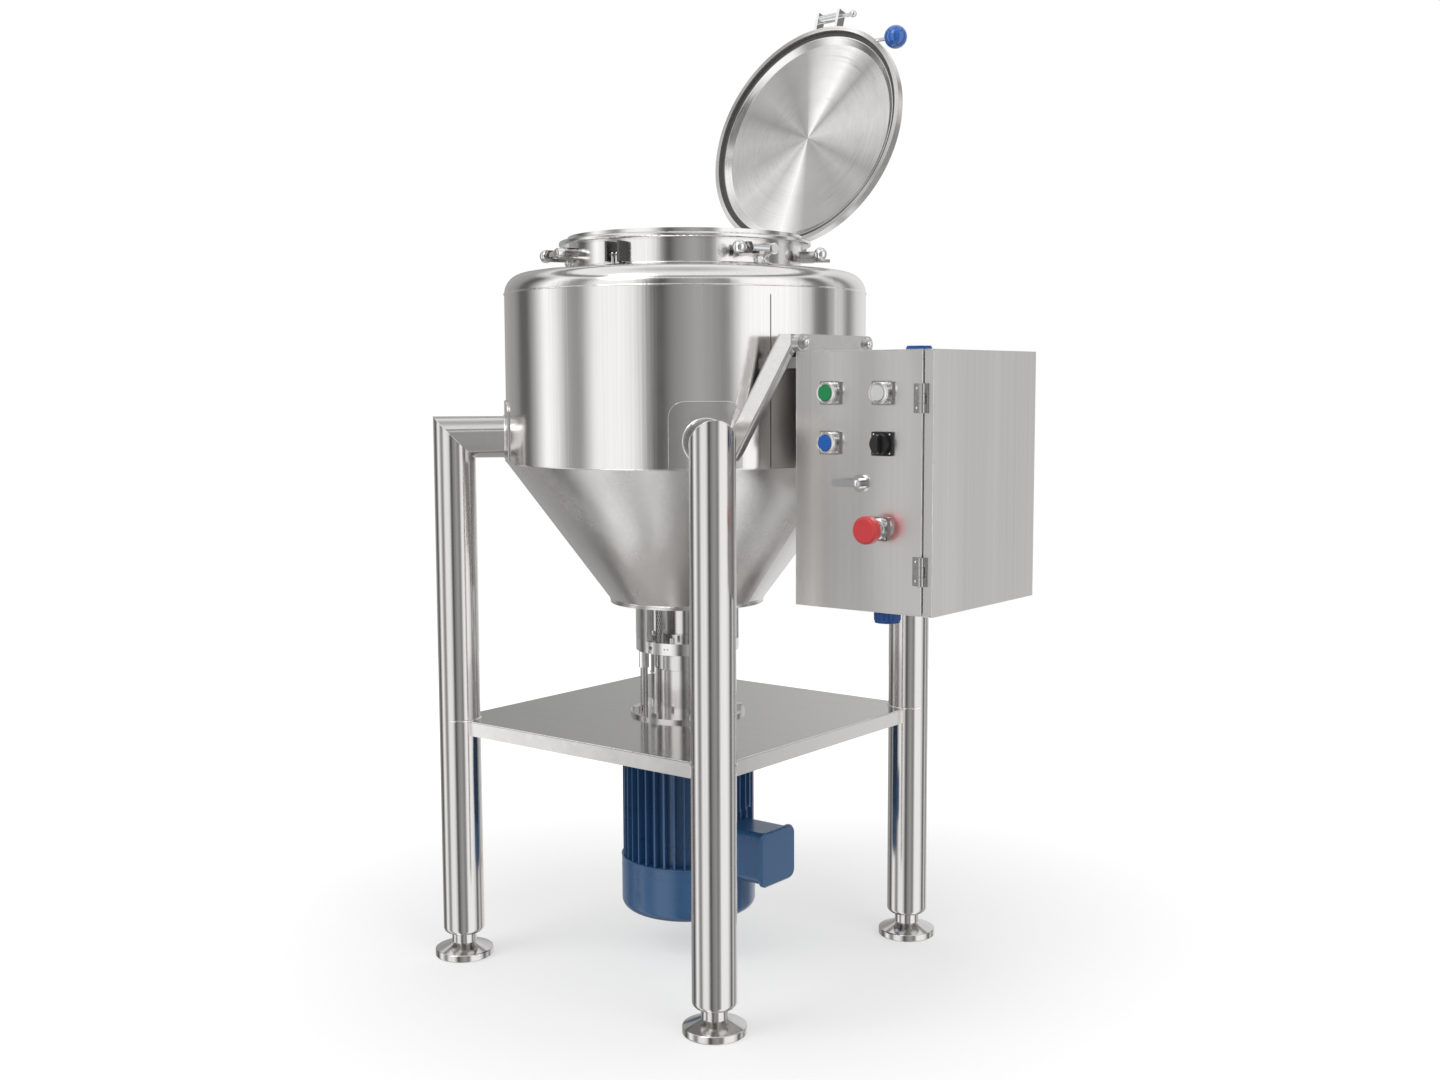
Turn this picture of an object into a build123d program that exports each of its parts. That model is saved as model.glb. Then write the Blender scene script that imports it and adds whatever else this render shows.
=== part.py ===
from build123d import *
from math import cos, hypot, radians, sin, sqrt, tan
import os

# Processing tank on four tube legs, with a bottom drive and a control box.
# Millimetres. The origin is on the floor under the vessel's axis, +Z is up,
# the control box stands on the +X side and its door faces -Y.

# Clearances
SEAT_GAP = 0.3
PIN_GAP = 0.05
WORKING_GAP = 5.0

# Vessel
SHELL_R = 307.0
WALL = 3.0
SHELL_BOTTOM_Z = 857.5
SHELL_TOP_Z = 1140.0
KNUCKLE_R = 34.0
KNUCKLE_TURN = 85.0
CONE_BOTTOM_R = 132.6
CONE_BOTTOM_Z = 620.5
BOTTOM_PLATE_THICK = 6.0

# Manway
COLLAR_R = 197.0
COLLAR_WALL = 4.0
COLLAR_SINK = 6.0
RIM_REACH = 17.0
RIM_BOTTOM_Z = 1220.0
RIM_THICK = 8.0
RIM_ROUND = 2.5
NECK_REACH = 2.0
NECK_HEIGHT = 7.4

# Legs
LEG_STAND_OFF = 87.57
LEG_R = 35.0
LEG_WALL = 2.0
LEG_BOTTOM_Z = 41.0
LEG_END_ROUND = 9.0
LEG_END_PLATE = 6.0
ARM_Z = 901.0
PAD_THICK = 3.0
PAD_WIDTH = 114.0
PAD_BOTTOM_Z = 860.0
PAD_HEIGHT = 102.0
PAD_CORNER = 25.0

# Feet
FOOT_R = 50.0
FOOT_EDGE = 12.0
FOOT_CONE_Z = 24.0
FOOT_NECK_R = 21.0
FOOT_ROUND = 2.0

# Shelf
SHELF_MARGIN = 11.0
SHELF_TOP_Z = 418.0
SHELF_SHEET = 2.0
SHELF_EDGE = 25.0
SHELF_HOLE_R = 48.0

# Pedestal between the shelf and the vessel
PEDESTAL_FLANGE_R = 100.0
PEDESTAL_FLANGE_THICK = 5.0
FLANGE_BOLT_COUNT = 8
FLANGE_BOLT_CIRCLE_R = 90.0
FLANGE_BOLT_ACROSS = 12.0
FLANGE_BOLT_HEAD = 7.0
HOUSING_R = 55.0
HOUSING_COLLAR_R = 58.0
HOUSING_COLLAR_Z = 500.0
HOUSING_GROOVE = 2.0
RING_R = 89.4
RING_BOTTOM_Z = 531.0
RING_THICK = 20.0
RING_BORE_R = 40.0
PILLAR_COUNT = 4
PILLAR_TURN = -30.0
PILLAR_WIDTH_DEG = 38.0
PILLAR_THICK = 10.0
SEAL_R = 38.0
SEAL_FOOT_R = 46.0
SEAL_FOOT_THICK = 9.0
RING_SCREW_CIRCLE_R = 64.0
RING_SCREW_R = 4.5
RING_SCREW_HEAD = 6.0
PIPE_CIRCLE_R = 76.0
PIPE_TURN = 38.2
PIPE_R = 6.5
COUPLING_R = 9.0
COUPLING_BOTTOM_Z = 497.0
COUPLING_LENGTH = 28.0
COUPLING_FLATS = 20

# Motor
MOTOR_FLANGE_R = 125.0
MOTOR_FLANGE_THICK = 12.0
MOTOR_CORE_R = 100.0
FIN_R = 115.0
FIN_THICK = 3.0
FIN_COUNT = 40
COWL_TOP_Z = 168.0
COWL_BOTTOM_Z = 74.0
COWL_R = 117.5
COWL_BEVEL = 15.0
COWL_GRILLE_R = 84.0
COWL_GRILLE_DEEP = 6.0
COWL_RIB_COUNT = 12
COWL_RIB_THICK = 4.0
COWL_HUB_R = 26.0
TERMINAL_FACE_X = 190.0
TERMINAL_LID_THICK = 7.0
TERMINAL_WIDTH = 96.0
TERMINAL_BOTTOM_Z = 147.0
TERMINAL_HEIGHT = 94.0
TERMINAL_CORNER = 16.0
TERMINAL_BOSS_X = 104.0
TERMINAL_LID_LIP = 3.0

# Frame that carries the control box
RAIL_SIZE = 25.0
RAIL_STAND_OFF = 38.0
RAIL_END_Y = 35.0
STRUT_TURN = 14.5
STRUT_SLOPE = 61.6
STRUT_WIDTH = 28.6
STRUT_DEPTH = 25.0
STRUT_KNEE_DROP = 22.2
STRUT_DROP = 192.0
STRUT_ROUND = 4.0
HANGER_HEIGHT = 26.0
HANGER_THICK = 12.0
HANGER_BOLT_INSET = 18.0
HANGER_BOLT_R = 8.0
HANGER_BOLT_HEAD = 6.0
SPACER_DROP = 25.0
SPACER_HEIGHT = 17.0
SPACER_DEPTH = 20.0

# Control box
BOX_STAND_OFF = 1.0
BOX_WIDTH = 240.0
BOX_SET_BACK = 12.5
BOX_DEPTH = 308.0
BOX_TOP_Z = 1037.0
BOX_HEIGHT = 383.0
BOX_WALL = 3.0
DOOR_WIDTH = 221.0
DOOR_SIDE_GAP = 3.0
DOOR_THICK = 3.0
DOOR_SEAL_THICK = 3.0
DOOR_SEAL_WIDTH = 10.0
BOX_MOUTH_MARGIN = 16.0
BOX_HINGE_HEIGHT = 42.0
BOX_HINGE_RISE = 44.0
BOX_HINGE_DROP = 90.5
BOX_HINGE_R = 4.8
BOX_HINGE_PIN_R = 2.5
BOX_LEAF_THICK = 2.0
BOX_LEAF_NEAR = 5.5
DOOR_LEAF_FAR = 15.5
BODY_LEAF_FAR = 8.0
TOP_PLUG_R = 18.2
TOP_PLUG_HIGH = 6.5
TOP_PLUG_ACROSS = 172.0
TOP_PLUG_BACK = 70.0
LOW_PLUG_R = 19.0
LOW_PLUG_HIGH = 20.0
LOW_PLUG_ACROSS = 139.0
LOW_PLUG_BACK = 40.0

# Controls on the door, across from its left edge and down from its top
BUTTON_LEFT_ACROSS = 64.0
BUTTON_RIGHT_ACROSS = 155.0
BUTTON_TOP_DROP = 62.0
BUTTON_LOW_DROP = 135.5
STOP_ACROSS = 148.0
STOP_DROP = 259.5
BUTTON_PLATE = 35.0
BUTTON_PLATE_THICK = 4.5
BUTTON_PLATE_CORNER = 1.5
BEZEL_R = 15.0
BEZEL_BORE_R = 11.6
BEZEL_LENGTH = 12.0
CAP_R = 11.3
CAP_PROUD = 1.5
CAP_ROUND = 0.7
CAP_LENGTH = 10.0
SELECTOR_R = 15.0
SELECTOR_LENGTH = 9.0
SELECTOR_GRIP_WIDTH = 9.0
SELECTOR_GRIP_PROUD = 9.0
SELECTOR_EDGE = 1.0
STOP_COLLAR_R = 14.5
STOP_COLLAR_LENGTH = 17.0
STOP_STEM_R = 8.0
STOP_STEM_BORE_R = 8.3
STOP_CAP_R = 20.5
STOP_CAP_THICK = 15.0
STOP_CAP_ROUND = 5.0
STOP_TRAVEL = 4.0
LATCH_ACROSS = 117.0
LATCH_DROP = 194.0
LATCH_ROSE_R = 13.0
LATCH_ROSE_THICK = 4.0
LATCH_HUB_R = 8.0
LATCH_HUB_LENGTH = 9.0
LATCH_LEVER_LENGTH = 50.0
LATCH_LEVER_WIDTH = 11.0
LATCH_LEVER_THICK = 5.0

# Lid, drawn closed, then opened about its hinge and turned about the vessel's axis
LID_TURN = -4.17
LID_HINGE_OUT = 23.4
LID_HINGE_DROP = 9.5
LID_OPEN_DEG = 106.6
LID_SHY = 3.3
LID_GAP = 0.8
LID_RING_THICK = 13.7
LID_RING_WIDTH = 8.0
LID_LIP_WIDTH = 1.5
LID_CONE_RUN = 10.5
LID_CONE_RISE = 7.9
LID_SHOULDER_RUN = 8.0
LID_DISC_THICK = 3.0
GASKET_WIDTH = 8.7
GASKET_THICK = 4.0
GASKET_GAP = 0.4
LID_ARM_X = 30.0
LID_ARM_THICK = 10.0
LID_ARM_EYE_R = 12.0
LID_ARM_START_Y = 120.0
LID_ARM_HIGH = 13.0
LID_PIN_R = 6.0
LID_PIN_HALF = 40.0
BRACKET_X = 15.0
BRACKET_THICK = 10.0
LID_STOP_R = 5.0
LID_STOP_OUT = 20.0
CLASP_CENTRE_X = 4.0
CLASP_EAR_X = 24.0
CLASP_EAR_THICK = 6.0
CLASP_EAR_REACH = 32.0
CLASP_EAR_HIGH = 18.0
CLASP_BAR_R = 8.0
CLASP_BAR_REACH = 21.5
CLASP_PIN_R = 3.5
CLASP_PIN_REACH = 53.7
CLASP_PIN_BALL_R = 6.5
KNOB_X = 168.5
KNOB_Y = -168.5
KNOB_R = 20.5
KNOB_STEM_R = 3.5

# Swing bolts round the manway
BOLT_AZIMUTHS = (-115.7, -12.9, 38.6, 141.4, 192.8)
BOLT_STAND_OFF = 12.0
BOLT_PIVOT_DROP = 17.0
BOLT_EYE_R = 9.0
BOLT_EYE_LENGTH = 12.0
BOLT_PIN_R = 4.0
BOLT_PIN_HEAD_R = 7.0
BOLT_PIN_HEAD_THICK = 2.5
BOLT_BOSS_R = 10.0
BOLT_ROD_R = 6.0
BOLT_KNOB_R = 11.0
BOLT_KNOB_AT = 67.0
BOLT_STOP_AT = 36.0
BOLT_STOP_WIDTH = 10.0
BOLT_STOP_THICK = 5.0
CATCH_AZ = -83.0
CATCH_SPREAD = 24.0
CATCH_THICK = 4.0
CATCH_REACH = 20.0
CATCH_DROP = 36.0
CATCH_HEIGHT = 32.0
CATCH_ROLLER_R = 5.0

# Values worked out from the sizes above
knuckle_x = SHELL_R - KNUCKLE_R
dish_slope = tan(radians(90.0 - KNUCKLE_TURN))
dish_start_x = knuckle_x + KNUCKLE_R * cos(radians(KNUCKLE_TURN))
dish_start_z = SHELL_TOP_Z + KNUCKLE_R * sin(radians(KNUCKLE_TURN))
collar_seat_z = dish_start_z + (dish_start_x - COLLAR_R) * dish_slope
dish_under_x = knuckle_x + (KNUCKLE_R - WALL) * cos(radians(KNUCKLE_TURN))
dish_under_z = SHELL_TOP_Z + (KNUCKLE_R - WALL) * sin(radians(KNUCKLE_TURN))
collar_under_z = dish_under_z + (dish_under_x - COLLAR_R) * dish_slope
cone_run = SHELL_R - CONE_BOTTOM_R
cone_rise = SHELL_BOTTOM_Z - CONE_BOTTOM_Z
cone_wall_across = WALL * hypot(cone_run, cone_rise) / cone_rise
leg_reach = SHELL_R + LEG_STAND_OFF
leg_offset = leg_reach / sqrt(2.0)
shelf_half = leg_offset + SHELF_MARGIN
pad_face_r = SHELL_R + PAD_THICK
collar_bore_r = COLLAR_R - COLLAR_WALL
rim_r = COLLAR_R + RIM_REACH
rim_top_z = RIM_BOTTOM_Z + RIM_THICK
plate_under_z = CONE_BOTTOM_Z - BOTTOM_PLATE_THICK
ring_top_z = RING_BOTTOM_Z + RING_THICK
flange_top_z = SHELF_TOP_Z + PEDESTAL_FLANGE_THICK
shelf_under_z = SHELF_TOP_Z - SHELF_SHEET
motor_top_z = shelf_under_z - MOTOR_FLANGE_THICK
rail_outer_x = SHELL_R + RAIL_STAND_OFF
rail_left_x = rail_outer_x - RAIL_SIZE
rail_top_z = BOX_TOP_Z + HANGER_HEIGHT
rail_bottom_z = rail_top_z - RAIL_SIZE
strut_corner_y = -rail_outer_x / 2
box_left_x = rail_outer_x + BOX_STAND_OFF
box_right_x = box_left_x + BOX_WIDTH
box_front_y = strut_corner_y + BOX_SET_BACK
box_back_y = box_front_y + BOX_DEPTH
box_bottom_z = BOX_TOP_Z - BOX_HEIGHT
door_right_x = box_left_x + DOOR_WIDTH
box_face_y = box_front_y + DOOR_THICK + DOOR_SEAL_THICK + SEAT_GAP
box_hinge_x = door_right_x + DOOR_SIDE_GAP / 2
box_hinge_y = box_front_y - BOX_HINGE_R
button_face_y = box_front_y - BUTTON_PLATE_THICK
latch_x = box_left_x + LATCH_ACROSS
latch_z = BOX_TOP_Z - LATCH_DROP
bolt_pivot_r = rim_r + BOLT_STAND_OFF
bolt_pivot_z = RIM_BOTTOM_Z - BOLT_PIVOT_DROP
leg_turns = PolarLocations(0, 4, start_angle=45)


def at_azimuth(azimuth):
    return Location((0, 0, 0), (0, 0, azimuth))


# Vessel shell
with BuildPart() as vessel_shell:
    with BuildSketch(Plane.XY.offset(SHELL_BOTTOM_Z)):
        Circle(SHELL_R)
        Circle(SHELL_R - WALL, mode=Mode.SUBTRACT)
    extrude(amount=SHELL_TOP_Z - SHELL_BOTTOM_Z)

# Domed top with its knuckle
with BuildPart() as vessel_top_head:
    with BuildSketch(Plane.XZ):
        with BuildLine():
            outer_knuckle = CenterArc((knuckle_x, SHELL_TOP_Z), KNUCKLE_R, 0, KNUCKLE_TURN)
            inner_knuckle = CenterArc((knuckle_x, SHELL_TOP_Z), KNUCKLE_R - WALL, 0, KNUCKLE_TURN)
            Polyline(
                outer_knuckle @ 1,
                (COLLAR_R, collar_seat_z),
                (COLLAR_R, collar_under_z),
                inner_knuckle @ 1,
            )
            Line(inner_knuckle @ 0, outer_knuckle @ 0)
        make_face()
    revolve(axis=Axis.Z)

# Cone under the shell
with BuildPart() as vessel_cone:
    with BuildSketch(Plane.XZ):
        with BuildLine():
            Polyline(
                (SHELL_R, SHELL_BOTTOM_Z),
                (CONE_BOTTOM_R, CONE_BOTTOM_Z),
                (CONE_BOTTOM_R - cone_wall_across, CONE_BOTTOM_Z),
                (SHELL_R - cone_wall_across, SHELL_BOTTOM_Z),
                close=True,
            )
        make_face()
    revolve(axis=Axis.Z)

with BuildPart() as cone_bottom_plate:
    with BuildSketch(Plane.XY.offset(plate_under_z)):
        Circle(CONE_BOTTOM_R)
    extrude(amount=BOTTOM_PLATE_THICK)

# Manway collar, let into the dome, and its rim with a low neck
with BuildPart() as manway_collar:
    with BuildSketch(Plane.XY.offset(collar_seat_z - COLLAR_SINK)):
        Circle(COLLAR_R)
        Circle(collar_bore_r, mode=Mode.SUBTRACT)
    extrude(amount=RIM_BOTTOM_Z - collar_seat_z + COLLAR_SINK)

with BuildPart() as manway_rim:
    with BuildSketch(Plane.XY.offset(RIM_BOTTOM_Z)):
        Circle(rim_r)
        Circle(collar_bore_r, mode=Mode.SUBTRACT)
    extrude(amount=RIM_THICK)
    fillet(manway_rim.edges().filter_by(GeomType.CIRCLE).group_by(SortBy.RADIUS)[-1], RIM_ROUND)
    with BuildSketch(Plane.XY.offset(rim_top_z)):
        Circle(COLLAR_R + NECK_REACH)
        Circle(collar_bore_r, mode=Mode.SUBTRACT)
    extrude(amount=NECK_HEIGHT)

# Leg, drawn at its own axis with the vessel towards -X
mitre = Plane(origin=(0, 0, ARM_Z), x_dir=(0, 1, 0), z_dir=(1, 0, -1))
with BuildPart() as leg:
    with BuildSketch(Plane.XY.offset(LEG_BOTTOM_Z)):
        Circle(LEG_R)
    extrude(amount=ARM_Z + LEG_R - LEG_BOTTOM_Z)
    fillet(leg.edges().sort_by(Axis.Z)[0], LEG_END_ROUND)
    with BuildSketch(Plane.XY.offset(LEG_BOTTOM_Z + LEG_END_PLATE)):
        Circle(LEG_R - LEG_WALL)
    extrude(amount=ARM_Z + LEG_R - LEG_BOTTOM_Z, mode=Mode.SUBTRACT)
    split(bisect_by=mitre)

with BuildPart() as legs:
    with PolarLocations(leg_reach, 4, start_angle=45):
        add(leg.part)

# Arm from the mitred elbow to the pad on the shell
with BuildPart() as arm:
    with BuildSketch(Plane.YZ.offset(SHELL_R - LEG_R - leg_reach)):
        with Locations((0, ARM_Z)):
            Circle(LEG_R)
            Circle(LEG_R - LEG_WALL, mode=Mode.SUBTRACT)
    extrude(amount=leg_reach - SHELL_R + LEG_R * 2)
    split(bisect_by=mitre, keep=Keep.BOTTOM)
    with Locations((-leg_reach, 0, ARM_Z)):
        Cylinder(pad_face_r, LEG_R * 3, mode=Mode.SUBTRACT)

with BuildPart() as leg_arms:
    with PolarLocations(leg_reach, 4, start_angle=45):
        add(arm.part)

# Curved pad between an arm and the shell
with BuildPart() as pad:
    with BuildSketch(Plane.XY.offset(PAD_BOTTOM_Z)):
        Circle(pad_face_r)
        Circle(SHELL_R, mode=Mode.SUBTRACT)
    extrude(amount=PAD_HEIGHT)
    with BuildSketch(Plane.YZ.offset(SHELL_R / 2)) as pad_outline:
        with Locations((0, PAD_BOTTOM_Z + PAD_HEIGHT / 2)):
            Rectangle(PAD_WIDTH, PAD_HEIGHT)
        fillet(pad_outline.vertices().group_by(Axis.Y)[-1], PAD_CORNER)
    extrude(amount=SHELL_R, mode=Mode.INTERSECT)

with BuildPart() as leg_pads:
    with leg_turns:
        add(pad.part)

# Levelling foot
with BuildPart() as foot:
    with BuildSketch(Plane.XZ):
        with BuildLine():
            Polyline(
                (0, 0),
                (FOOT_R, 0),
                (FOOT_R, FOOT_EDGE),
                (FOOT_NECK_R, FOOT_CONE_Z),
                (FOOT_NECK_R, LEG_BOTTOM_Z),
                (0, LEG_BOTTOM_Z),
                close=True,
            )
        make_face()
    revolve(axis=Axis.Z)
    fillet(foot.edges().filter_by(GeomType.CIRCLE).group_by(SortBy.RADIUS)[-1], FOOT_ROUND)

with BuildPart() as feet:
    with PolarLocations(leg_reach, 4, start_angle=45):
        add(foot.part)

# Shelf between the legs
with BuildPart() as shelf_top:
    with BuildSketch(Plane.XY.offset(shelf_under_z)):
        Rectangle(shelf_half * 2, shelf_half * 2)
        with GridLocations(leg_offset * 2, leg_offset * 2, 2, 2):
            Circle(LEG_R, mode=Mode.SUBTRACT)
        Circle(SHELF_HOLE_R, mode=Mode.SUBTRACT)
    extrude(amount=SHELF_SHEET)

with BuildPart() as shelf_edges:
    with BuildSketch(Plane.XY.offset(SHELF_TOP_Z - SHELF_EDGE)):
        Rectangle(shelf_half * 2, shelf_half * 2)
        Rectangle((shelf_half - SHELF_SHEET) * 2, (shelf_half - SHELF_SHEET) * 2, mode=Mode.SUBTRACT)
        with GridLocations(leg_offset * 2, leg_offset * 2, 2, 2):
            Circle(LEG_R, mode=Mode.SUBTRACT)
    extrude(amount=SHELF_EDGE - SHELF_SHEET)

# Flange of the pedestal, its bolts and the bearing housing
with BuildPart() as pedestal_flange:
    with BuildSketch(Plane.XY.offset(SHELF_TOP_Z)):
        Circle(PEDESTAL_FLANGE_R)
        Circle(SHELF_HOLE_R, mode=Mode.SUBTRACT)
    extrude(amount=PEDESTAL_FLANGE_THICK)

with BuildPart() as bearing_housing:
    with BuildSketch(Plane.XZ):
        with BuildLine():
            Polyline(
                (0, flange_top_z),
                (HOUSING_R, flange_top_z),
                (HOUSING_R, HOUSING_COLLAR_Z - HOUSING_GROOVE),
                (HOUSING_R - HOUSING_GROOVE, HOUSING_COLLAR_Z - HOUSING_GROOVE),
                (HOUSING_R - HOUSING_GROOVE, HOUSING_COLLAR_Z),
                (HOUSING_COLLAR_R, HOUSING_COLLAR_Z),
                (HOUSING_COLLAR_R, RING_BOTTOM_Z),
                (0, RING_BOTTOM_Z),
                close=True,
            )
        make_face()
    revolve(axis=Axis.Z)

# Lantern: ring, pillars up to the vessel and the seal housing between them
with BuildPart() as lantern_ring:
    with BuildSketch(Plane.XY.offset(RING_BOTTOM_Z)):
        Circle(RING_R)
        Circle(RING_BORE_R, mode=Mode.SUBTRACT)
    extrude(amount=RING_THICK)

with BuildPart() as pillar:
    with BuildSketch(Plane.XY.offset(ring_top_z)):
        with BuildLine():
            outer_arc = CenterArc((0, 0), RING_R, -PILLAR_WIDTH_DEG / 2, PILLAR_WIDTH_DEG)
            inner_arc = CenterArc((0, 0), RING_R - PILLAR_THICK, -PILLAR_WIDTH_DEG / 2, PILLAR_WIDTH_DEG)
            Line(outer_arc @ 0, inner_arc @ 0)
            Line(outer_arc @ 1, inner_arc @ 1)
        make_face()
    extrude(amount=plate_under_z - ring_top_z)

with BuildPart() as lantern_pillars:
    with PolarLocations(0, PILLAR_COUNT, start_angle=PILLAR_TURN):
        add(pillar.part)

with BuildPart() as seal_housing:
    with BuildSketch(Plane.XY.offset(ring_top_z)):
        Circle(SEAL_FOOT_R)
    extrude(amount=SEAL_FOOT_THICK)
    with BuildSketch(Plane.XY.offset(ring_top_z + SEAL_FOOT_THICK)):
        Circle(SEAL_R)
    extrude(amount=plate_under_z - ring_top_z - SEAL_FOOT_THICK)

with BuildPart() as pedestal_bolts:
    with BuildSketch(Plane.XY.offset(flange_top_z)):
        with PolarLocations(FLANGE_BOLT_CIRCLE_R, FLANGE_BOLT_COUNT):
            RegularPolygon(FLANGE_BOLT_ACROSS / 2, 6, major_radius=False)
    extrude(amount=FLANGE_BOLT_HEAD)
    with BuildSketch(Plane.XY.offset(ring_top_z)):
        with PolarLocations(RING_SCREW_CIRCLE_R, FLANGE_BOLT_COUNT, start_angle=PILLAR_TURN):
            Circle(RING_SCREW_R)
    extrude(amount=RING_SCREW_HEAD)
    with BuildSketch(Plane.XY.offset(RING_BOTTOM_Z - RING_SCREW_HEAD)):
        with PolarLocations(RING_SCREW_CIRCLE_R, FLANGE_BOLT_COUNT, start_angle=PILLAR_TURN):
            Circle(RING_SCREW_R)
    extrude(amount=RING_SCREW_HEAD)

# Two flush pipes beside the bearing housing, with knurled couplings
with BuildPart() as flush_pipes:
    with BuildSketch(Plane.XY.offset(flange_top_z)):
        with PolarLocations(PIPE_CIRCLE_R, 2, start_angle=PIPE_TURN):
            Circle(PIPE_R)
    extrude(amount=COUPLING_BOTTOM_Z - flange_top_z)

with BuildPart() as pipe_couplings:
    with BuildSketch(Plane.XY.offset(COUPLING_BOTTOM_Z)):
        with PolarLocations(PIPE_CIRCLE_R, 2, start_angle=PIPE_TURN):
            RegularPolygon(COUPLING_R, COUPLING_FLATS)
    extrude(amount=COUPLING_LENGTH)
    with BuildSketch(Plane.XY.offset(COUPLING_BOTTOM_Z + COUPLING_LENGTH)):
        with PolarLocations(PIPE_CIRCLE_R, 2, start_angle=PIPE_TURN):
            Circle(PIPE_R)
    extrude(amount=RING_BOTTOM_Z - COUPLING_BOTTOM_Z - COUPLING_LENGTH)

# Motor hung under the shelf
with BuildPart() as motor_flange:
    with BuildSketch(Plane.XY.offset(motor_top_z)):
        Circle(MOTOR_FLANGE_R)
    extrude(amount=MOTOR_FLANGE_THICK)

with BuildPart() as motor_body:
    with BuildSketch(Plane.XY.offset(COWL_TOP_Z)):
        Circle(MOTOR_CORE_R)
        with PolarLocations(FIN_R / 2, FIN_COUNT):
            Rectangle(FIN_R, FIN_THICK)
    extrude(amount=motor_top_z - COWL_TOP_Z)
    with BuildSketch(Plane.YZ.offset(TERMINAL_BOSS_X)):
        with Locations((0, TERMINAL_BOTTOM_Z + TERMINAL_HEIGHT / 2)):
            Rectangle(TERMINAL_WIDTH, TERMINAL_HEIGHT + TERMINAL_CORNER * 2)
    extrude(amount=FIN_R, mode=Mode.SUBTRACT)

with BuildPart() as motor_fan_cowl:
    with BuildSketch(Plane.XY.offset(COWL_BOTTOM_Z)):
        Circle(COWL_R)
    extrude(amount=COWL_TOP_Z - COWL_BOTTOM_Z)
    fillet(motor_fan_cowl.edges().sort_by(Axis.Z)[0], COWL_BEVEL)
    with BuildSketch(Plane.XY.offset(COWL_BOTTOM_Z)):
        Circle(COWL_GRILLE_R)
        Circle(COWL_HUB_R, mode=Mode.SUBTRACT)
        with PolarLocations(COWL_GRILLE_R / 2, COWL_RIB_COUNT):
            Rectangle(COWL_GRILLE_R, COWL_RIB_THICK, mode=Mode.SUBTRACT)
    extrude(amount=COWL_GRILLE_DEEP, mode=Mode.SUBTRACT)

with BuildPart() as terminal_box:
    with BuildSketch(Plane.YZ.offset(TERMINAL_BOSS_X)):
        with Locations((0, TERMINAL_BOTTOM_Z + TERMINAL_HEIGHT / 2)):
            RectangleRounded(
                TERMINAL_WIDTH - TERMINAL_LID_LIP * 2,
                TERMINAL_HEIGHT - TERMINAL_LID_LIP * 2,
                TERMINAL_CORNER,
            )
    extrude(amount=TERMINAL_FACE_X - TERMINAL_BOSS_X)
    with BuildSketch(Plane.XY.offset(COWL_BOTTOM_Z)):
        Circle(COWL_R + SEAT_GAP)
    extrude(amount=COWL_TOP_Z - COWL_BOTTOM_Z, mode=Mode.SUBTRACT)

with BuildPart() as terminal_box_lid:
    with BuildSketch(Plane.YZ.offset(TERMINAL_FACE_X)):
        with Locations((0, TERMINAL_BOTTOM_Z + TERMINAL_HEIGHT / 2)):
            RectangleRounded(TERMINAL_WIDTH, TERMINAL_HEIGHT, TERMINAL_CORNER)
    extrude(amount=TERMINAL_LID_THICK)
    chamfer(terminal_box_lid.faces().sort_by(Axis.X)[-1].edges(), TERMINAL_LID_LIP)

# Front strut: a bar in a plane turned about Z, standing on a leg's arm and its pad
strut_slope = tan(radians(STRUT_SLOPE))
strut_turn_slope = tan(radians(STRUT_TURN))
strut_across = STRUT_WIDTH / sin(radians(STRUT_SLOPE))
strut_toe = (STRUT_KNEE_DROP - STRUT_DROP) / strut_slope
strut_end = STRUT_DEPTH * strut_turn_slope
strut_foot_z = rail_top_z - STRUT_DROP
strut_plane = Plane(
    origin=(rail_outer_x, strut_corner_y, 0),
    x_dir=(cos(radians(STRUT_TURN)), sin(radians(STRUT_TURN)), 0),
    z_dir=(sin(radians(STRUT_TURN)), -cos(radians(STRUT_TURN)), 0),
)
with BuildPart() as strut:
    with BuildSketch(strut_plane):
        with BuildLine():
            Polyline(
                (strut_end, rail_top_z),
                (strut_end, rail_top_z - STRUT_KNEE_DROP + strut_end * strut_slope),
                (strut_toe, strut_foot_z),
                (strut_toe - strut_across, strut_foot_z),
                (strut_toe - strut_across + STRUT_DROP / strut_slope, rail_top_z),
                close=True,
            )
        make_face()
    extrude(amount=-STRUT_DEPTH)
    fillet(strut.edges().sort_by(SortBy.LENGTH)[-4:], STRUT_ROUND)
    split(bisect_by=Plane.YZ.offset(rail_outer_x), keep=Keep.BOTTOM)
    with Locations((0, 0, strut_foot_z)):
        Cylinder(pad_face_r, STRUT_DROP * 3, mode=Mode.SUBTRACT)
    with Locations(Location((0, 0, ARM_Z), (0, 0, -45))):
        Cylinder(LEG_R, leg_reach * 2, rotation=(0, 90, 0), mode=Mode.SUBTRACT)

# Rail beside the control box, closed by the strut in front and by a short block behind
rail_start_y = strut_corner_y + STRUT_DEPTH / cos(radians(STRUT_TURN)) - RAIL_SIZE * strut_turn_slope - WALL
with BuildPart() as support_rail:
    with BuildSketch(Plane.XZ.offset(-rail_start_y)):
        with Locations(((rail_left_x + rail_outer_x) / 2, (rail_bottom_z + rail_top_z) / 2)):
            Rectangle(RAIL_SIZE, RAIL_SIZE)
            Rectangle(RAIL_SIZE - WALL * 2, RAIL_SIZE - WALL * 2, mode=Mode.SUBTRACT)
    extrude(amount=rail_start_y - RAIL_END_Y)
    add(strut.part, mode=Mode.SUBTRACT)

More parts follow.
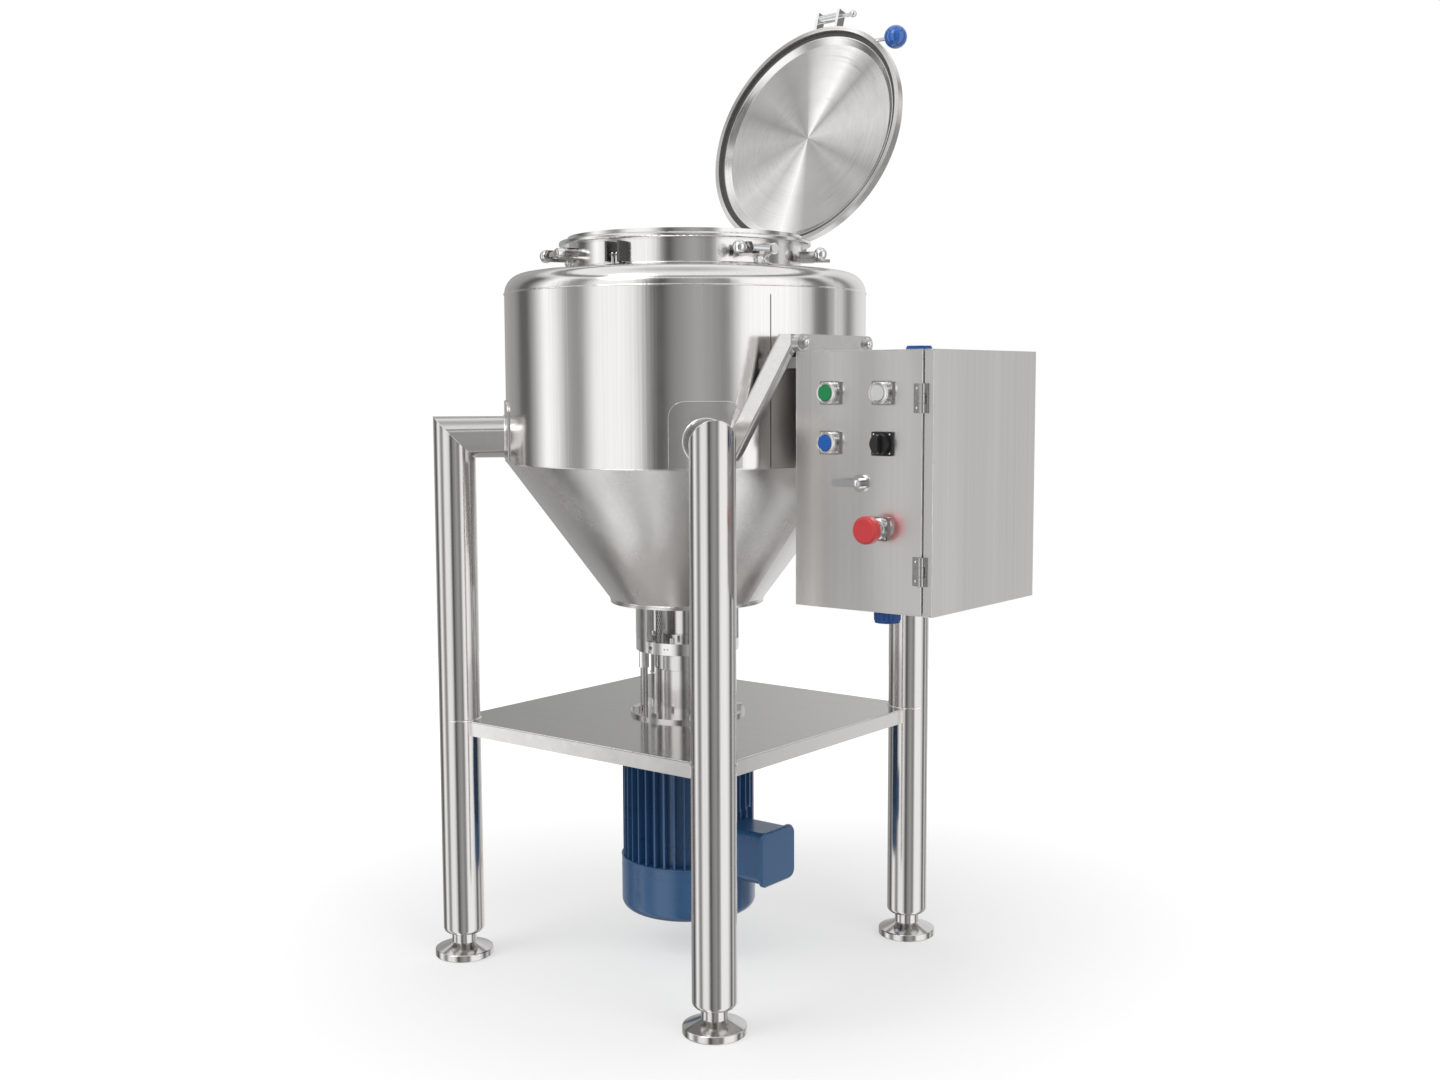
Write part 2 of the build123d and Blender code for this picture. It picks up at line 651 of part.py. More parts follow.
with BuildPart() as rear_block:
    with BuildSketch(Plane.XY.offset(rail_bottom_z)):
        with Locations((rail_left_x / 2, RAIL_END_Y - RAIL_SIZE / 2)):
            Rectangle(rail_left_x, RAIL_SIZE)
    extrude(amount=RAIL_SIZE)
    with Locations((0, 0, rail_bottom_z)):
        Cylinder(SHELL_R, RAIL_SIZE * 3, mode=Mode.SUBTRACT)

with BuildPart() as support_struts:
    add(strut.part)
    add(rear_block.part)

# Spacer between the strut and the side of the box
spacer_left_x = rail_left_x - SPACER_HEIGHT / strut_slope
with BuildPart() as spacer:
    with BuildSketch(Plane.XY.offset(BOX_TOP_Z - SPACER_DROP)):
        with Locations(((spacer_left_x + box_left_x) / 2, box_face_y + SPACER_DEPTH / 2)):
            Rectangle(box_left_x - spacer_left_x, SPACER_DEPTH)
    extrude(amount=SPACER_HEIGHT)
    add(strut.part, mode=Mode.SUBTRACT)

# Hanger bar bolted to the rail above the box
hanger_length = RAIL_END_Y - strut_corner_y
hanger_middle_z = BOX_TOP_Z + HANGER_HEIGHT / 2
hanger_bolt_ys = (strut_corner_y + HANGER_BOLT_INSET, RAIL_END_Y - HANGER_BOLT_INSET)
with BuildPart() as box_hanger:
    with BuildSketch(Plane.YZ.offset(rail_outer_x)):
        with Locations((strut_corner_y + hanger_length / 2, hanger_middle_z)):
            SlotOverall(hanger_length, HANGER_HEIGHT)
    extrude(amount=HANGER_THICK)
    with BuildSketch(Plane.YZ.offset(rail_outer_x + HANGER_THICK)):
        with Locations(*[(y, hanger_middle_z) for y in hanger_bolt_ys]):
            Circle(HANGER_BOLT_R)
    extrude(amount=HANGER_BOLT_HEAD)

# Control box body: folded shell with a mouth in front and a strip beside the door
mouth_left_x = box_left_x + BOX_MOUTH_MARGIN
mouth_right_x = door_right_x - BOX_MOUTH_MARGIN
with BuildPart() as control_box:
    with BuildSketch(Plane.XY.offset(box_bottom_z)):
        with BuildLine():
            Polyline(
                (box_left_x, box_face_y),
                (door_right_x + DOOR_SIDE_GAP, box_face_y),
                (door_right_x + DOOR_SIDE_GAP, box_front_y),
                (box_right_x, box_front_y),
                (box_right_x, box_back_y),
                (box_left_x, box_back_y),
                close=True,
            )
        make_face()
    extrude(amount=BOX_HEIGHT)
    with BuildSketch(Plane.XY.offset(box_bottom_z + BOX_WALL)):
        with Locations(((box_left_x + box_right_x) / 2, (box_face_y + box_back_y) / 2)):
            Rectangle(BOX_WIDTH - BOX_WALL * 2, box_back_y - box_face_y - BOX_WALL * 2)
    extrude(amount=BOX_HEIGHT - BOX_WALL * 2, mode=Mode.SUBTRACT)
    with BuildSketch(Plane.XZ.offset(-box_face_y - BOX_WALL * 2)):
        with Locations(((mouth_left_x + mouth_right_x) / 2, (box_bottom_z + BOX_TOP_Z) / 2)):
            Rectangle(mouth_right_x - mouth_left_x, BOX_HEIGHT - BOX_MOUTH_MARGIN * 2)
    extrude(amount=BOX_WALL * 4, mode=Mode.SUBTRACT)

with BuildPart() as box_plugs:
    with BuildSketch(Plane.XY.offset(BOX_TOP_Z)):
        with Locations((box_left_x + TOP_PLUG_ACROSS, box_front_y + TOP_PLUG_BACK)):
            Circle(TOP_PLUG_R)
    extrude(amount=TOP_PLUG_HIGH)
    with BuildSketch(Plane.XY.offset(box_bottom_z - LOW_PLUG_HIGH)):
        with Locations((box_left_x + LOW_PLUG_ACROSS, box_front_y + LOW_PLUG_BACK)):
            Circle(LOW_PLUG_R)
    extrude(amount=LOW_PLUG_HIGH)

# Door of the control box and its seal
with BuildPart() as control_door:
    with BuildSketch(Plane.XZ.offset(-box_front_y)):
        with Locations(((box_left_x + door_right_x) / 2, (box_bottom_z + BOX_TOP_Z) / 2)):
            Rectangle(DOOR_WIDTH, BOX_HEIGHT)
    extrude(amount=-DOOR_THICK)

with BuildPart() as door_seal:
    with BuildSketch(Plane.XZ.offset(-box_front_y - DOOR_THICK)):
        with Locations(((box_left_x + door_right_x) / 2, (box_bottom_z + BOX_TOP_Z) / 2)):
            Rectangle(DOOR_WIDTH - BOX_WALL * 2, BOX_HEIGHT - BOX_WALL * 2)
            Rectangle(
                DOOR_WIDTH - BOX_WALL * 2 - DOOR_SEAL_WIDTH * 2,
                BOX_HEIGHT - BOX_WALL * 2 - DOOR_SEAL_WIDTH * 2,
                mode=Mode.SUBTRACT,
            )
    extrude(amount=-DOOR_SEAL_THICK)

# Hinges of the door: outer knuckles and pin on the body, middle knuckle on the door
knuckle_length = (BOX_HINGE_HEIGHT - SEAT_GAP * 4) / 3
leaf_middle_y = box_front_y - BOX_LEAF_THICK / 2
hinge_bases = (box_bottom_z + BOX_HINGE_RISE, BOX_TOP_Z - BOX_HINGE_DROP)
with BuildPart() as box_hinge_leaves:
    for base_z in hinge_bases:
        with BuildSketch(Plane.XY.offset(base_z)):
            with Locations((box_hinge_x, box_hinge_y)):
                Circle(BOX_HINGE_PIN_R)
        extrude(amount=BOX_HINGE_HEIGHT)
        for knuckle_z in (base_z, base_z + BOX_HINGE_HEIGHT - knuckle_length):
            with BuildSketch(Plane.XY.offset(knuckle_z)):
                with Locations((box_hinge_x, box_hinge_y)):
                    Circle(BOX_HINGE_R)
                with Locations((box_hinge_x + BODY_LEAF_FAR / 2, leaf_middle_y)):
                    Rectangle(BODY_LEAF_FAR, BOX_LEAF_THICK)
            extrude(amount=knuckle_length)
        with BuildSketch(Plane.XY.offset(base_z)):
            with Locations((box_hinge_x + (BOX_LEAF_NEAR + BODY_LEAF_FAR) / 2, leaf_middle_y)):
                Rectangle(BODY_LEAF_FAR - BOX_LEAF_NEAR, BOX_LEAF_THICK)
        extrude(amount=BOX_HINGE_HEIGHT)

with BuildPart() as door_hinge_leaves:
    for base_z in hinge_bases:
        with BuildSketch(Plane.XY.offset(base_z + knuckle_length + SEAT_GAP * 2)):
            with Locations((box_hinge_x, box_hinge_y)):
                Circle(BOX_HINGE_R)
            with Locations((box_hinge_x - DOOR_LEAF_FAR / 2, leaf_middle_y)):
                Rectangle(DOOR_LEAF_FAR, BOX_LEAF_THICK)
            with Locations((box_hinge_x, box_hinge_y)):
                Circle(BOX_HINGE_PIN_R + PIN_GAP, mode=Mode.SUBTRACT)
        extrude(amount=knuckle_length)
        with BuildSketch(Plane.XY.offset(base_z)):
            with Locations((box_hinge_x - (BOX_LEAF_NEAR + DOOR_LEAF_FAR) / 2, leaf_middle_y)):
                Rectangle(DOOR_LEAF_FAR - BOX_LEAF_NEAR, BOX_LEAF_THICK)
        extrude(amount=BOX_HINGE_HEIGHT)

# Square plates under the controls
button_places = {
    "green": (box_left_x + BUTTON_LEFT_ACROSS, BOX_TOP_Z - BUTTON_TOP_DROP),
    "white": (box_left_x + BUTTON_RIGHT_ACROSS, BOX_TOP_Z - BUTTON_TOP_DROP),
    "blue": (box_left_x + BUTTON_LEFT_ACROSS, BOX_TOP_Z - BUTTON_LOW_DROP),
}
selector_place = (box_left_x + BUTTON_RIGHT_ACROSS, BOX_TOP_Z - BUTTON_LOW_DROP)
stop_place = (box_left_x + STOP_ACROSS, BOX_TOP_Z - STOP_DROP)
with BuildPart() as button_housings:
    with BuildSketch(Plane.XZ.offset(-box_front_y)):
        with Locations(*button_places.values(), stop_place):
            RectangleRounded(BUTTON_PLATE, BUTTON_PLATE, BUTTON_PLATE_CORNER)
    extrude(amount=BUTTON_PLATE_THICK)
    with BuildSketch(Plane.XZ.offset(-button_face_y)):
        with Locations(*button_places.values()):
            Circle(BEZEL_R)
            Circle(BEZEL_BORE_R, mode=Mode.SUBTRACT)
    extrude(amount=BEZEL_LENGTH)
    with BuildSketch(Plane.XZ.offset(-button_face_y)):
        with Locations(stop_place):
            Circle(STOP_COLLAR_R)
            Circle(STOP_STEM_BORE_R, mode=Mode.SUBTRACT)
    extrude(amount=STOP_COLLAR_LENGTH)

with BuildPart() as selector_plate:
    with BuildSketch(Plane.XZ.offset(-box_front_y)):
        with Locations(selector_place):
            RectangleRounded(BUTTON_PLATE, BUTTON_PLATE, BUTTON_PLATE_CORNER)
    extrude(amount=BUTTON_PLATE_THICK)

# Push buttons in their bezels
cap_back_y = button_face_y - BEZEL_LENGTH - CAP_PROUD + CAP_LENGTH
push_buttons = {}
for colour, place in button_places.items():
    with BuildPart() as push_button:
        with BuildSketch(Plane.XZ.offset(-cap_back_y)):
            with Locations(place):
                Circle(CAP_R)
        extrude(amount=CAP_LENGTH)
        fillet(push_button.edges().sort_by(Axis.Y)[0], CAP_ROUND)
    push_buttons[colour] = push_button

# Selector with a grip across its face
selector_back_y = button_face_y - SEAT_GAP
with BuildPart() as selector_knob:
    with BuildSketch(Plane.XZ.offset(-selector_back_y)):
        with Locations(selector_place):
            Circle(SELECTOR_R)
    extrude(amount=SELECTOR_LENGTH)
    with BuildSketch(Plane.XZ.offset(SELECTOR_LENGTH - selector_back_y)):
        with Locations(selector_place):
            SlotOverall((SELECTOR_R - SELECTOR_EDGE) * 2, SELECTOR_GRIP_WIDTH, rotation=90)
    extrude(amount=SELECTOR_GRIP_PROUD)

# Emergency stop: mushroom on a stem through its collar
stop_collar_face_y = button_face_y - STOP_COLLAR_LENGTH
stop_cap_back_y = stop_collar_face_y - STOP_TRAVEL - SEAT_GAP
with BuildPart() as emergency_button:
    with BuildSketch(Plane.XZ.offset(STOP_TRAVEL + SEAT_GAP - button_face_y)):
        with Locations(stop_place):
            Circle(STOP_STEM_R)
    extrude(amount=button_face_y - STOP_TRAVEL - SEAT_GAP - stop_cap_back_y)
    with BuildSketch(Plane.XZ.offset(-stop_cap_back_y)):
        with Locations(stop_place):
            Circle(STOP_CAP_R)
    extrude(amount=STOP_CAP_THICK)
    fillet(emergency_button.edges().sort_by(Axis.Y)[0], STOP_CAP_ROUND)

# Door latch: rose on the door and a turning lever
with BuildPart() as latch_rose:
    with BuildSketch(Plane.XZ.offset(-box_front_y)):
        with Locations((latch_x, latch_z)):
            Circle(LATCH_ROSE_R)
    extrude(amount=LATCH_ROSE_THICK)

latch_hub_back_y = box_front_y - LATCH_ROSE_THICK - SEAT_GAP
with BuildPart() as latch_lever:
    with BuildSketch(Plane.XZ.offset(-latch_hub_back_y)):
        with Locations((latch_x, latch_z)):
            Circle(LATCH_HUB_R)
    extrude(amount=LATCH_HUB_LENGTH)
    with BuildSketch(Plane.XZ.offset(LATCH_HUB_LENGTH - LATCH_LEVER_THICK - latch_hub_back_y)):
        with Locations((latch_x - LATCH_LEVER_LENGTH / 2 + LATCH_LEVER_WIDTH / 2, latch_z)):
            SlotOverall(LATCH_LEVER_LENGTH, LATCH_LEVER_WIDTH)
    extrude(amount=LATCH_LEVER_THICK)

# Lid levels and radii, closed
lid_r = rim_r - LID_SHY
lid_bottom_z = rim_top_z + LID_GAP
lid_ring_top_z = lid_bottom_z + LID_RING_THICK
lid_ring_middle_z = lid_bottom_z + LID_RING_THICK / 2
gasket_face_z = rim_top_z + NECK_HEIGHT + GASKET_GAP
lid_disc_under_z = gasket_face_z + LID_CONE_RISE
lid_top_z = lid_disc_under_z + LID_DISC_THICK
gasket_outer_r = lid_r - LID_RING_WIDTH
gasket_inner_r = gasket_outer_r - GASKET_WIDTH
lid_lip_r = gasket_inner_r - LID_LIP_WIDTH
lid_disc_r = lid_lip_r - LID_CONE_RUN
lid_hinge_y = rim_r + LID_HINGE_OUT
lid_hinge_z = rim_top_z - LID_HINGE_DROP

# Brackets of the lid's hinge, under the rim and against the collar
stop_turn = radians(LID_OPEN_DEG)
stop_down = LID_ARM_EYE_R + LID_STOP_R + SEAT_GAP
stop_y = lid_hinge_y + stop_down * cos(stop_turn) + LID_STOP_OUT * sin(stop_turn)
stop_z = lid_hinge_z - stop_down * sin(stop_turn) + LID_STOP_OUT * cos(stop_turn)
bracket_foot_z = collar_seat_z + WORKING_GAP * 2
with BuildPart() as bracket_straight:
    for side in (-1, 1):
        with BuildSketch(Plane.YZ.offset(side * BRACKET_X - BRACKET_THICK / 2)):
            with BuildLine():
                Polyline(
                    (collar_bore_r, bracket_foot_z),
                    (stop_y - LID_STOP_R * 2, stop_z - LID_STOP_R * 1.5),
                    (stop_y + LID_STOP_R * 1.5, stop_z - LID_STOP_R * 1.5),
                    (stop_y + LID_STOP_R * 1.5, stop_z + LID_STOP_R),
                    (lid_hinge_y + LID_ARM_EYE_R, lid_hinge_z + LID_PIN_R),
                    (lid_hinge_y + LID_PIN_R, lid_hinge_z + LID_ARM_EYE_R),
                    (rim_r + WORKING_GAP, lid_hinge_z + LID_ARM_EYE_R),
                    (rim_r + WORKING_GAP, RIM_BOTTOM_Z),
                    (collar_bore_r, RIM_BOTTOM_Z),
                    close=True,
                )
            make_face()
        extrude(amount=BRACKET_THICK)
    with Locations((0, 0, bracket_foot_z)):
        Cylinder(COLLAR_R, RIM_BOTTOM_Z, mode=Mode.SUBTRACT)
    with BuildSketch(Plane.YZ.offset(-LID_PIN_HALF)):
        with Locations((lid_hinge_y, lid_hinge_z)):
            Circle(LID_PIN_R)
        with Locations((stop_y, stop_z)):
            Circle(LID_STOP_R)
    extrude(amount=LID_PIN_HALF * 2)

# Lid parts, drawn closed
with BuildPart() as lid_closed:
    with BuildSketch(Plane.XZ):
        with BuildLine():
            Polyline(
                (0, lid_top_z),
                (lid_disc_r, lid_top_z),
                (lid_disc_r + LID_SHOULDER_RUN, lid_ring_top_z),
                (lid_r, lid_ring_top_z),
                (lid_r, lid_bottom_z),
                (gasket_outer_r, lid_bottom_z),
                (gasket_outer_r, gasket_face_z + GASKET_THICK),
                (gasket_inner_r, gasket_face_z + GASKET_THICK),
                (gasket_inner_r, gasket_face_z),
                (lid_lip_r, gasket_face_z),
                (lid_disc_r, lid_disc_under_z),
                (0, lid_disc_under_z),
                close=True,
            )
        make_face()
    revolve(axis=Axis.Z)

with BuildPart() as gasket_closed:
    with BuildSketch(Plane.XY.offset(gasket_face_z)):
        Circle(gasket_outer_r)
        Circle(gasket_inner_r, mode=Mode.SUBTRACT)
    extrude(amount=GASKET_THICK)

with BuildPart() as lid_arms_closed:
    for side in (-1, 1):
        with BuildSketch(Plane.YZ.offset(side * LID_ARM_X - LID_ARM_THICK / 2)):
            with BuildLine():
                Polyline(
                    (LID_ARM_START_Y, lid_top_z),
                    (LID_ARM_START_Y + LID_ARM_HIGH, lid_top_z + LID_ARM_HIGH),
                    (lid_r + LID_ARM_HIGH, lid_top_z + LID_ARM_HIGH),
                    (lid_hinge_y + LID_ARM_EYE_R, lid_top_z),
                    (lid_hinge_y + LID_ARM_EYE_R, lid_hinge_z),
                    (lid_hinge_y - LID_ARM_EYE_R, lid_hinge_z),
                    (lid_hinge_y - LID_ARM_EYE_R, lid_top_z),
                    close=True,
                )
            make_face()
            with Locations((lid_hinge_y, lid_hinge_z)):
                Circle(LID_ARM_EYE_R)
                Circle(LID_PIN_R + PIN_GAP, mode=Mode.SUBTRACT)
        extrude(amount=LID_ARM_THICK)

clasp_bar_y = -lid_r - CLASP_BAR_REACH
clasp_middle_z = lid_bottom_z + CLASP_EAR_HIGH / 2
clasp_pin_x = CLASP_CENTRE_X + CLASP_EAR_X + CLASP_EAR_THICK / 2
with BuildPart() as clasp_closed:
    for side in (-1, 1):
        with BuildSketch(Plane.YZ.offset(CLASP_CENTRE_X + side * CLASP_EAR_X - CLASP_EAR_THICK / 2)):
            with Locations((-lid_r, clasp_middle_z)):
                Rectangle(CLASP_EAR_REACH * 2, CLASP_EAR_HIGH)
        extrude(amount=CLASP_EAR_THICK)
    with Locations((0, 0, clasp_middle_z)):
        Cylinder(lid_r, CLASP_EAR_HIGH * 2, mode=Mode.SUBTRACT)
    with BuildSketch(Plane.YZ.offset(CLASP_CENTRE_X + CLASP_EAR_THICK / 2 - CLASP_EAR_X)):
        with Locations((clasp_bar_y, clasp_middle_z)):
            Circle(CLASP_BAR_R)
    extrude(amount=CLASP_EAR_X * 2 - CLASP_EAR_THICK)
    with BuildSketch(Plane.YZ.offset(clasp_pin_x)):
        with Locations((clasp_bar_y, clasp_middle_z)):
            Circle(CLASP_PIN_R)
    extrude(amount=CLASP_CENTRE_X + CLASP_PIN_REACH - clasp_pin_x)
    with Locations((CLASP_CENTRE_X + CLASP_PIN_REACH, clasp_bar_y, clasp_middle_z)):
        Sphere(CLASP_PIN_BALL_R)

with BuildPart() as knob_stem_closed:
    with BuildSketch(Plane.YZ):
        with Locations((KNOB_Y, lid_ring_middle_z)):
            Circle(KNOB_STEM_R)
    extrude(amount=KNOB_X)
    with Locations((0, 0, lid_ring_middle_z)):
        Cylinder(lid_r, LID_RING_THICK * 2, mode=Mode.SUBTRACT)
    with Locations((KNOB_X, KNOB_Y, lid_ring_middle_z)):
        Sphere(KNOB_R, mode=Mode.SUBTRACT)

with BuildPart() as knob_closed:
    with Locations((KNOB_X, KNOB_Y, lid_ring_middle_z)):
        Sphere(KNOB_R)

lid_hinge_axis = Axis((0, lid_hinge_y, lid_hinge_z), (1, 0, 0))


def opened(closed_part):
    return closed_part.rotate(lid_hinge_axis, -LID_OPEN_DEG).rotate(Axis.Z, LID_TURN)


# Swing bolt, drawn at azimuth zero and lying towards -Y
eye_inner_r = bolt_pivot_r - BOLT_EYE_LENGTH / 2
eye_outer_r = bolt_pivot_r + BOLT_EYE_LENGTH / 2
with BuildPart() as bolt_pivot:
    with BuildSketch(Plane.YZ.offset(COLLAR_R / 2)):
        with Locations((0, bolt_pivot_z)):
            Circle(BOLT_BOSS_R)
    extrude(amount=eye_inner_r - SEAT_GAP - COLLAR_R / 2)
    with BuildSketch(Plane.YZ.offset(eye_inner_r - SEAT_GAP)):
        with Locations((0, bolt_pivot_z)):
            Circle(BOLT_PIN_R)
    extrude(amount=BOLT_EYE_LENGTH + SEAT_GAP * 2)
    with BuildSketch(Plane.YZ.offset(eye_outer_r + SEAT_GAP)):
        with Locations((0, bolt_pivot_z)):
            Circle(BOLT_PIN_HEAD_R)
    extrude(amount=BOLT_PIN_HEAD_THICK)
    with Locations((0, 0, bolt_pivot_z)):
        Cylinder(COLLAR_R, BOLT_BOSS_R * 4, mode=Mode.SUBTRACT)

stop_top_z = bolt_pivot_z - BOLT_ROD_R - SEAT_GAP
with BuildPart() as bolt_stop:
    with BuildSketch(Plane.XY.offset(stop_top_z - BOLT_STOP_THICK)):
        with Locations((bolt_pivot_r / 2 + COLLAR_R / 2, -BOLT_STOP_AT)):
            Rectangle(bolt_pivot_r - COLLAR_R + BOLT_STOP_AT, BOLT_STOP_WIDTH)
    extrude(amount=BOLT_STOP_THICK)
    with Locations((0, 0, stop_top_z)):
        Cylinder(COLLAR_R, BOLT_STOP_THICK * 4, mode=Mode.SUBTRACT)

with BuildPart() as clamp_lugs:
    with Locations(*[at_azimuth(azimuth) for azimuth in BOLT_AZIMUTHS]):
        add(bolt_pivot.part)
        add(bolt_stop.part)

with BuildPart() as swing_bolt:
    with BuildSketch(Plane.YZ.offset(eye_inner_r)):
        with Locations((0, bolt_pivot_z)):
            Circle(BOLT_EYE_R)
    extrude(amount=BOLT_EYE_LENGTH)
    with BuildSketch(Plane.XZ):
        with Locations((bolt_pivot_r, bolt_pivot_z)):
            Circle(BOLT_ROD_R)
    extrude(amount=BOLT_KNOB_AT)
    with Locations((bolt_pivot_r, -BOLT_KNOB_AT, bolt_pivot_z)):
        Sphere(BOLT_KNOB_R)
    with BuildSketch(Plane.YZ.offset(eye_inner_r)):
        with Locations((0, bolt_pivot_z)):
            Circle(BOLT_PIN_R + PIN_GAP)
    extrude(amount=BOLT_EYE_LENGTH, mode=Mode.SUBTRACT)

# Front catch under the rim for the lid's clasp
catch_bottom_z = RIM_BOTTOM_Z - CATCH_DROP
with BuildPart() as catch_along_x:
    for side in (-1, 1):
        with BuildSketch(Plane.XZ.offset(side * CATCH_SPREAD / 2 - CATCH_THICK / 2)):
            with Locations((COLLAR_R, catch_bottom_z + CATCH_HEIGHT / 2)):
                Rectangle(CATCH_REACH * 2, CATCH_HEIGHT)
        extrude(amount=CATCH_THICK)
    with BuildSketch(Plane.XZ.offset(-CATCH_SPREAD / 2)):
        with Locations((COLLAR_R + CATCH_REACH / 2, catch_bottom_z + CATCH_ROLLER_R * 2)):
            Circle(CATCH_ROLLER_R)
    extrude(amount=CATCH_SPREAD)
    with Locations((0, 0, catch_bottom_z)):
        Cylinder(COLLAR_R, CATCH_HEIGHT * 4, mode=Mode.SUBTRACT)

pieces = {
    "vessel_shell": vessel_shell.part,
    "vessel_top_head": vessel_top_head.part,
    "vessel_cone": vessel_cone.part,
    "cone_bottom_plate": cone_bottom_plate.part,
    "manway_collar": manway_collar.part,
    "manway_rim": manway_rim.part,
    "legs": legs.part,
    "leg_arms": leg_arms.part,
    "leg_pads": leg_pads.part,
    "feet": feet.part,
    "shelf_top": shelf_top.part,
    "shelf_edges": shelf_edges.part,
    "pedestal_flange": pedestal_flange.part,
    "pedestal_bolts": pedestal_bolts.part,
    "bearing_housing": bearing_housing.part,
    "lantern_ring": lantern_ring.part,
    "lantern_pillars": lantern_pillars.part,
    "seal_housing": seal_housing.part,
    "flush_pipes": flush_pipes.part,
    "pipe_couplings": pipe_couplings.part,
    "motor_flange": motor_flange.part,
    "motor_body": motor_body.part,
    "motor_fan_cowl": motor_fan_cowl.part,
    "terminal_box": terminal_box.part,
    "terminal_box_lid": terminal_box_lid.part,
    "support_rail": support_rail.part,
    "support_struts": support_struts.part,
    "box_spacer": spacer.part,
    "box_hanger": box_hanger.part,
    "control_box": control_box.part,
    "box_plugs": box_plugs.part,
    "box_hinge_leaves": box_hinge_leaves.part,
    "control_door": control_door.part,
    "door_seal": door_seal.part,
    "door_hinge_leaves": door_hinge_leaves.part,
    "button_housings": button_housings.part,
    "selector_plate": selector_plate.part,
    "selector_knob": selector_knob.part,
    "emergency_button": emergency_button.part,
    "latch_rose": latch_rose.part,
    "latch_lever": latch_lever.part,
    "lid_bracket": bracket_straight.part.rotate(Axis.Z, LID_TURN),
    "lid": opened(lid_closed.part),
    "lid_gasket": opened(gasket_closed.part),
    "lid_arms": opened(lid_arms_closed.part),
    "lid_clasp": opened(clasp_closed.part),
    "lid_knob_stem": opened(knob_stem_closed.part),
    "lid_knob": opened(knob_closed.part),
    "clamp_lugs": clamp_lugs.part,
    "lid_catch": catch_along_x.part.moved(at_azimuth(CATCH_AZ)),
}
for colour, push_button in push_buttons.items():
    pieces[f"button_{colour}"] = push_button.part
for number, azimuth in enumerate(BOLT_AZIMUTHS, start=1):
    pieces[f"swing_bolt_{number}"] = swing_bolt.part.moved(at_azimuth(azimuth))

os.makedirs("parts", exist_ok=True)
for label, piece in pieces.items():
    piece.label = label
    export_step(piece, f"parts/{label}.step")
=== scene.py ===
from math import atan2, cos, pi, radians, sin

import bpy
import numpy as np
from mathutils import Matrix, Vector


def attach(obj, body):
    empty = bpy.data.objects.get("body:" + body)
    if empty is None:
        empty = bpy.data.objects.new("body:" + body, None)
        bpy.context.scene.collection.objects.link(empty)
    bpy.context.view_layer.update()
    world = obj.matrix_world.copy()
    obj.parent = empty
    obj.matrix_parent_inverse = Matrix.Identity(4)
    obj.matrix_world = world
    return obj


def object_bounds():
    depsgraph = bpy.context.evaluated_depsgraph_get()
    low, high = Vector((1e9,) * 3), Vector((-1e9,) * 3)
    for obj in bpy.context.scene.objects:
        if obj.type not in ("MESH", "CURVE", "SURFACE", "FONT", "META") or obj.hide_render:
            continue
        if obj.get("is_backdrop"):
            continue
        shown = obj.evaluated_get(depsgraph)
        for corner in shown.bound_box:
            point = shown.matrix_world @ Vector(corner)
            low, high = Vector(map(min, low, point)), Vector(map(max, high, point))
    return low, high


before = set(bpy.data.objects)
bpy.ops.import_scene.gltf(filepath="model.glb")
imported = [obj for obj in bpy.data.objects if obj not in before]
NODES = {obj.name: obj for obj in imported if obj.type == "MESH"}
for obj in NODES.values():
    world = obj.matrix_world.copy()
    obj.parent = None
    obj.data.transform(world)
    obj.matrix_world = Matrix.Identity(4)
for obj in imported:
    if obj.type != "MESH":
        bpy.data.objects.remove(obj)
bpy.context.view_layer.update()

UP = (0, 0, 1)
ALONG_X = (1, 0, 0)
ALONG_Y = (0, 1, 0)
TO_FRONT = (0, -1, 0)

# Camera: place in metres, angles in degrees, lens and sensor in millimetres
CAMERA_PLACE = (1.7390, -2.1157, 0.9887)
CAMERA_HEADING = 38.214
CAMERA_DOWN = 5.616
CAMERA_ROLL = -0.222
CAMERA_LENS = 39.65
SENSOR_WIDTH = 36.0

# Lamps: name, place and side in metres, power in watts
LAMPS = (
    ("key", (-1.5, -3.5, 3.8), 2.6, 70),
    ("fill", (3.6, -0.6, 2.8), 2.4, 30),
)
LAMP_AIM = (0, 0, 0.9)

# World's level as plain light, and the floor, whose glow for the camera grows with distance;
# its weaker glow near the middle paints a soft shade round the object's foot
WHITE = (1, 1, 1, 1)
WORLD_LEVEL = 0.62
FLOOR_HALF = 2.6
FLOOR_DROP = 0.0005
FLOOR_COLOUR = (0.50, 0.50, 0.50, 1.0)
FLOOR_NEAR, FLOOR_FAR = 0.45, 1.5
FLOOR_GLOW_IN_PAINTED_SHADE, FLOOR_GLOW_FAR = 0.51, 0.80

# Walls of the reflected studio: degrees round from the camera's side, and how bright the wall is
STUDIO_WALLS = (
    (-180, 0.50), (-170, 0.38), (-158, 0.42), (-134, 0.34), (-125, 0.12), (-116, 0.12),
    (-107, 0.55), (-97, 1.30), (-86, 0.95), (-78, 0.38), (-68, 0.30), (-57, 1.12), (-36, 1.12),
    (-28, 0.85), (-21, 0.20), (-15, 0.06), (-9, 0.26), (8, 0.46), (19, 0.34), (26, 0.22),
    (36, 1.20), (68, 1.20), (82, 0.80), (89, 0.20), (98, 0.16), (107, 0.78), (114, 0.72),
    (123, 0.18), (136, 0.75), (155, 0.85), (169, 0.74), (180, 0.50),
)
# Its ceiling: height of the direction from 0 to 1, and how bright the ceiling is
STUDIO_CEILING = (
    (0.0, 1.00), (0.64, 1.00), (0.67, 0.22), (0.73, 0.22), (0.77, 1.05), (0.93, 0.95), (1.0, 0.55),
)
# Heights of the direction between which the walls pass into the ceiling, and into what is below
WALL_TOP = (0.52, 0.64)
WALL_FOOT = (-0.93, -0.99)
STUDIO_BELOW = 0.45
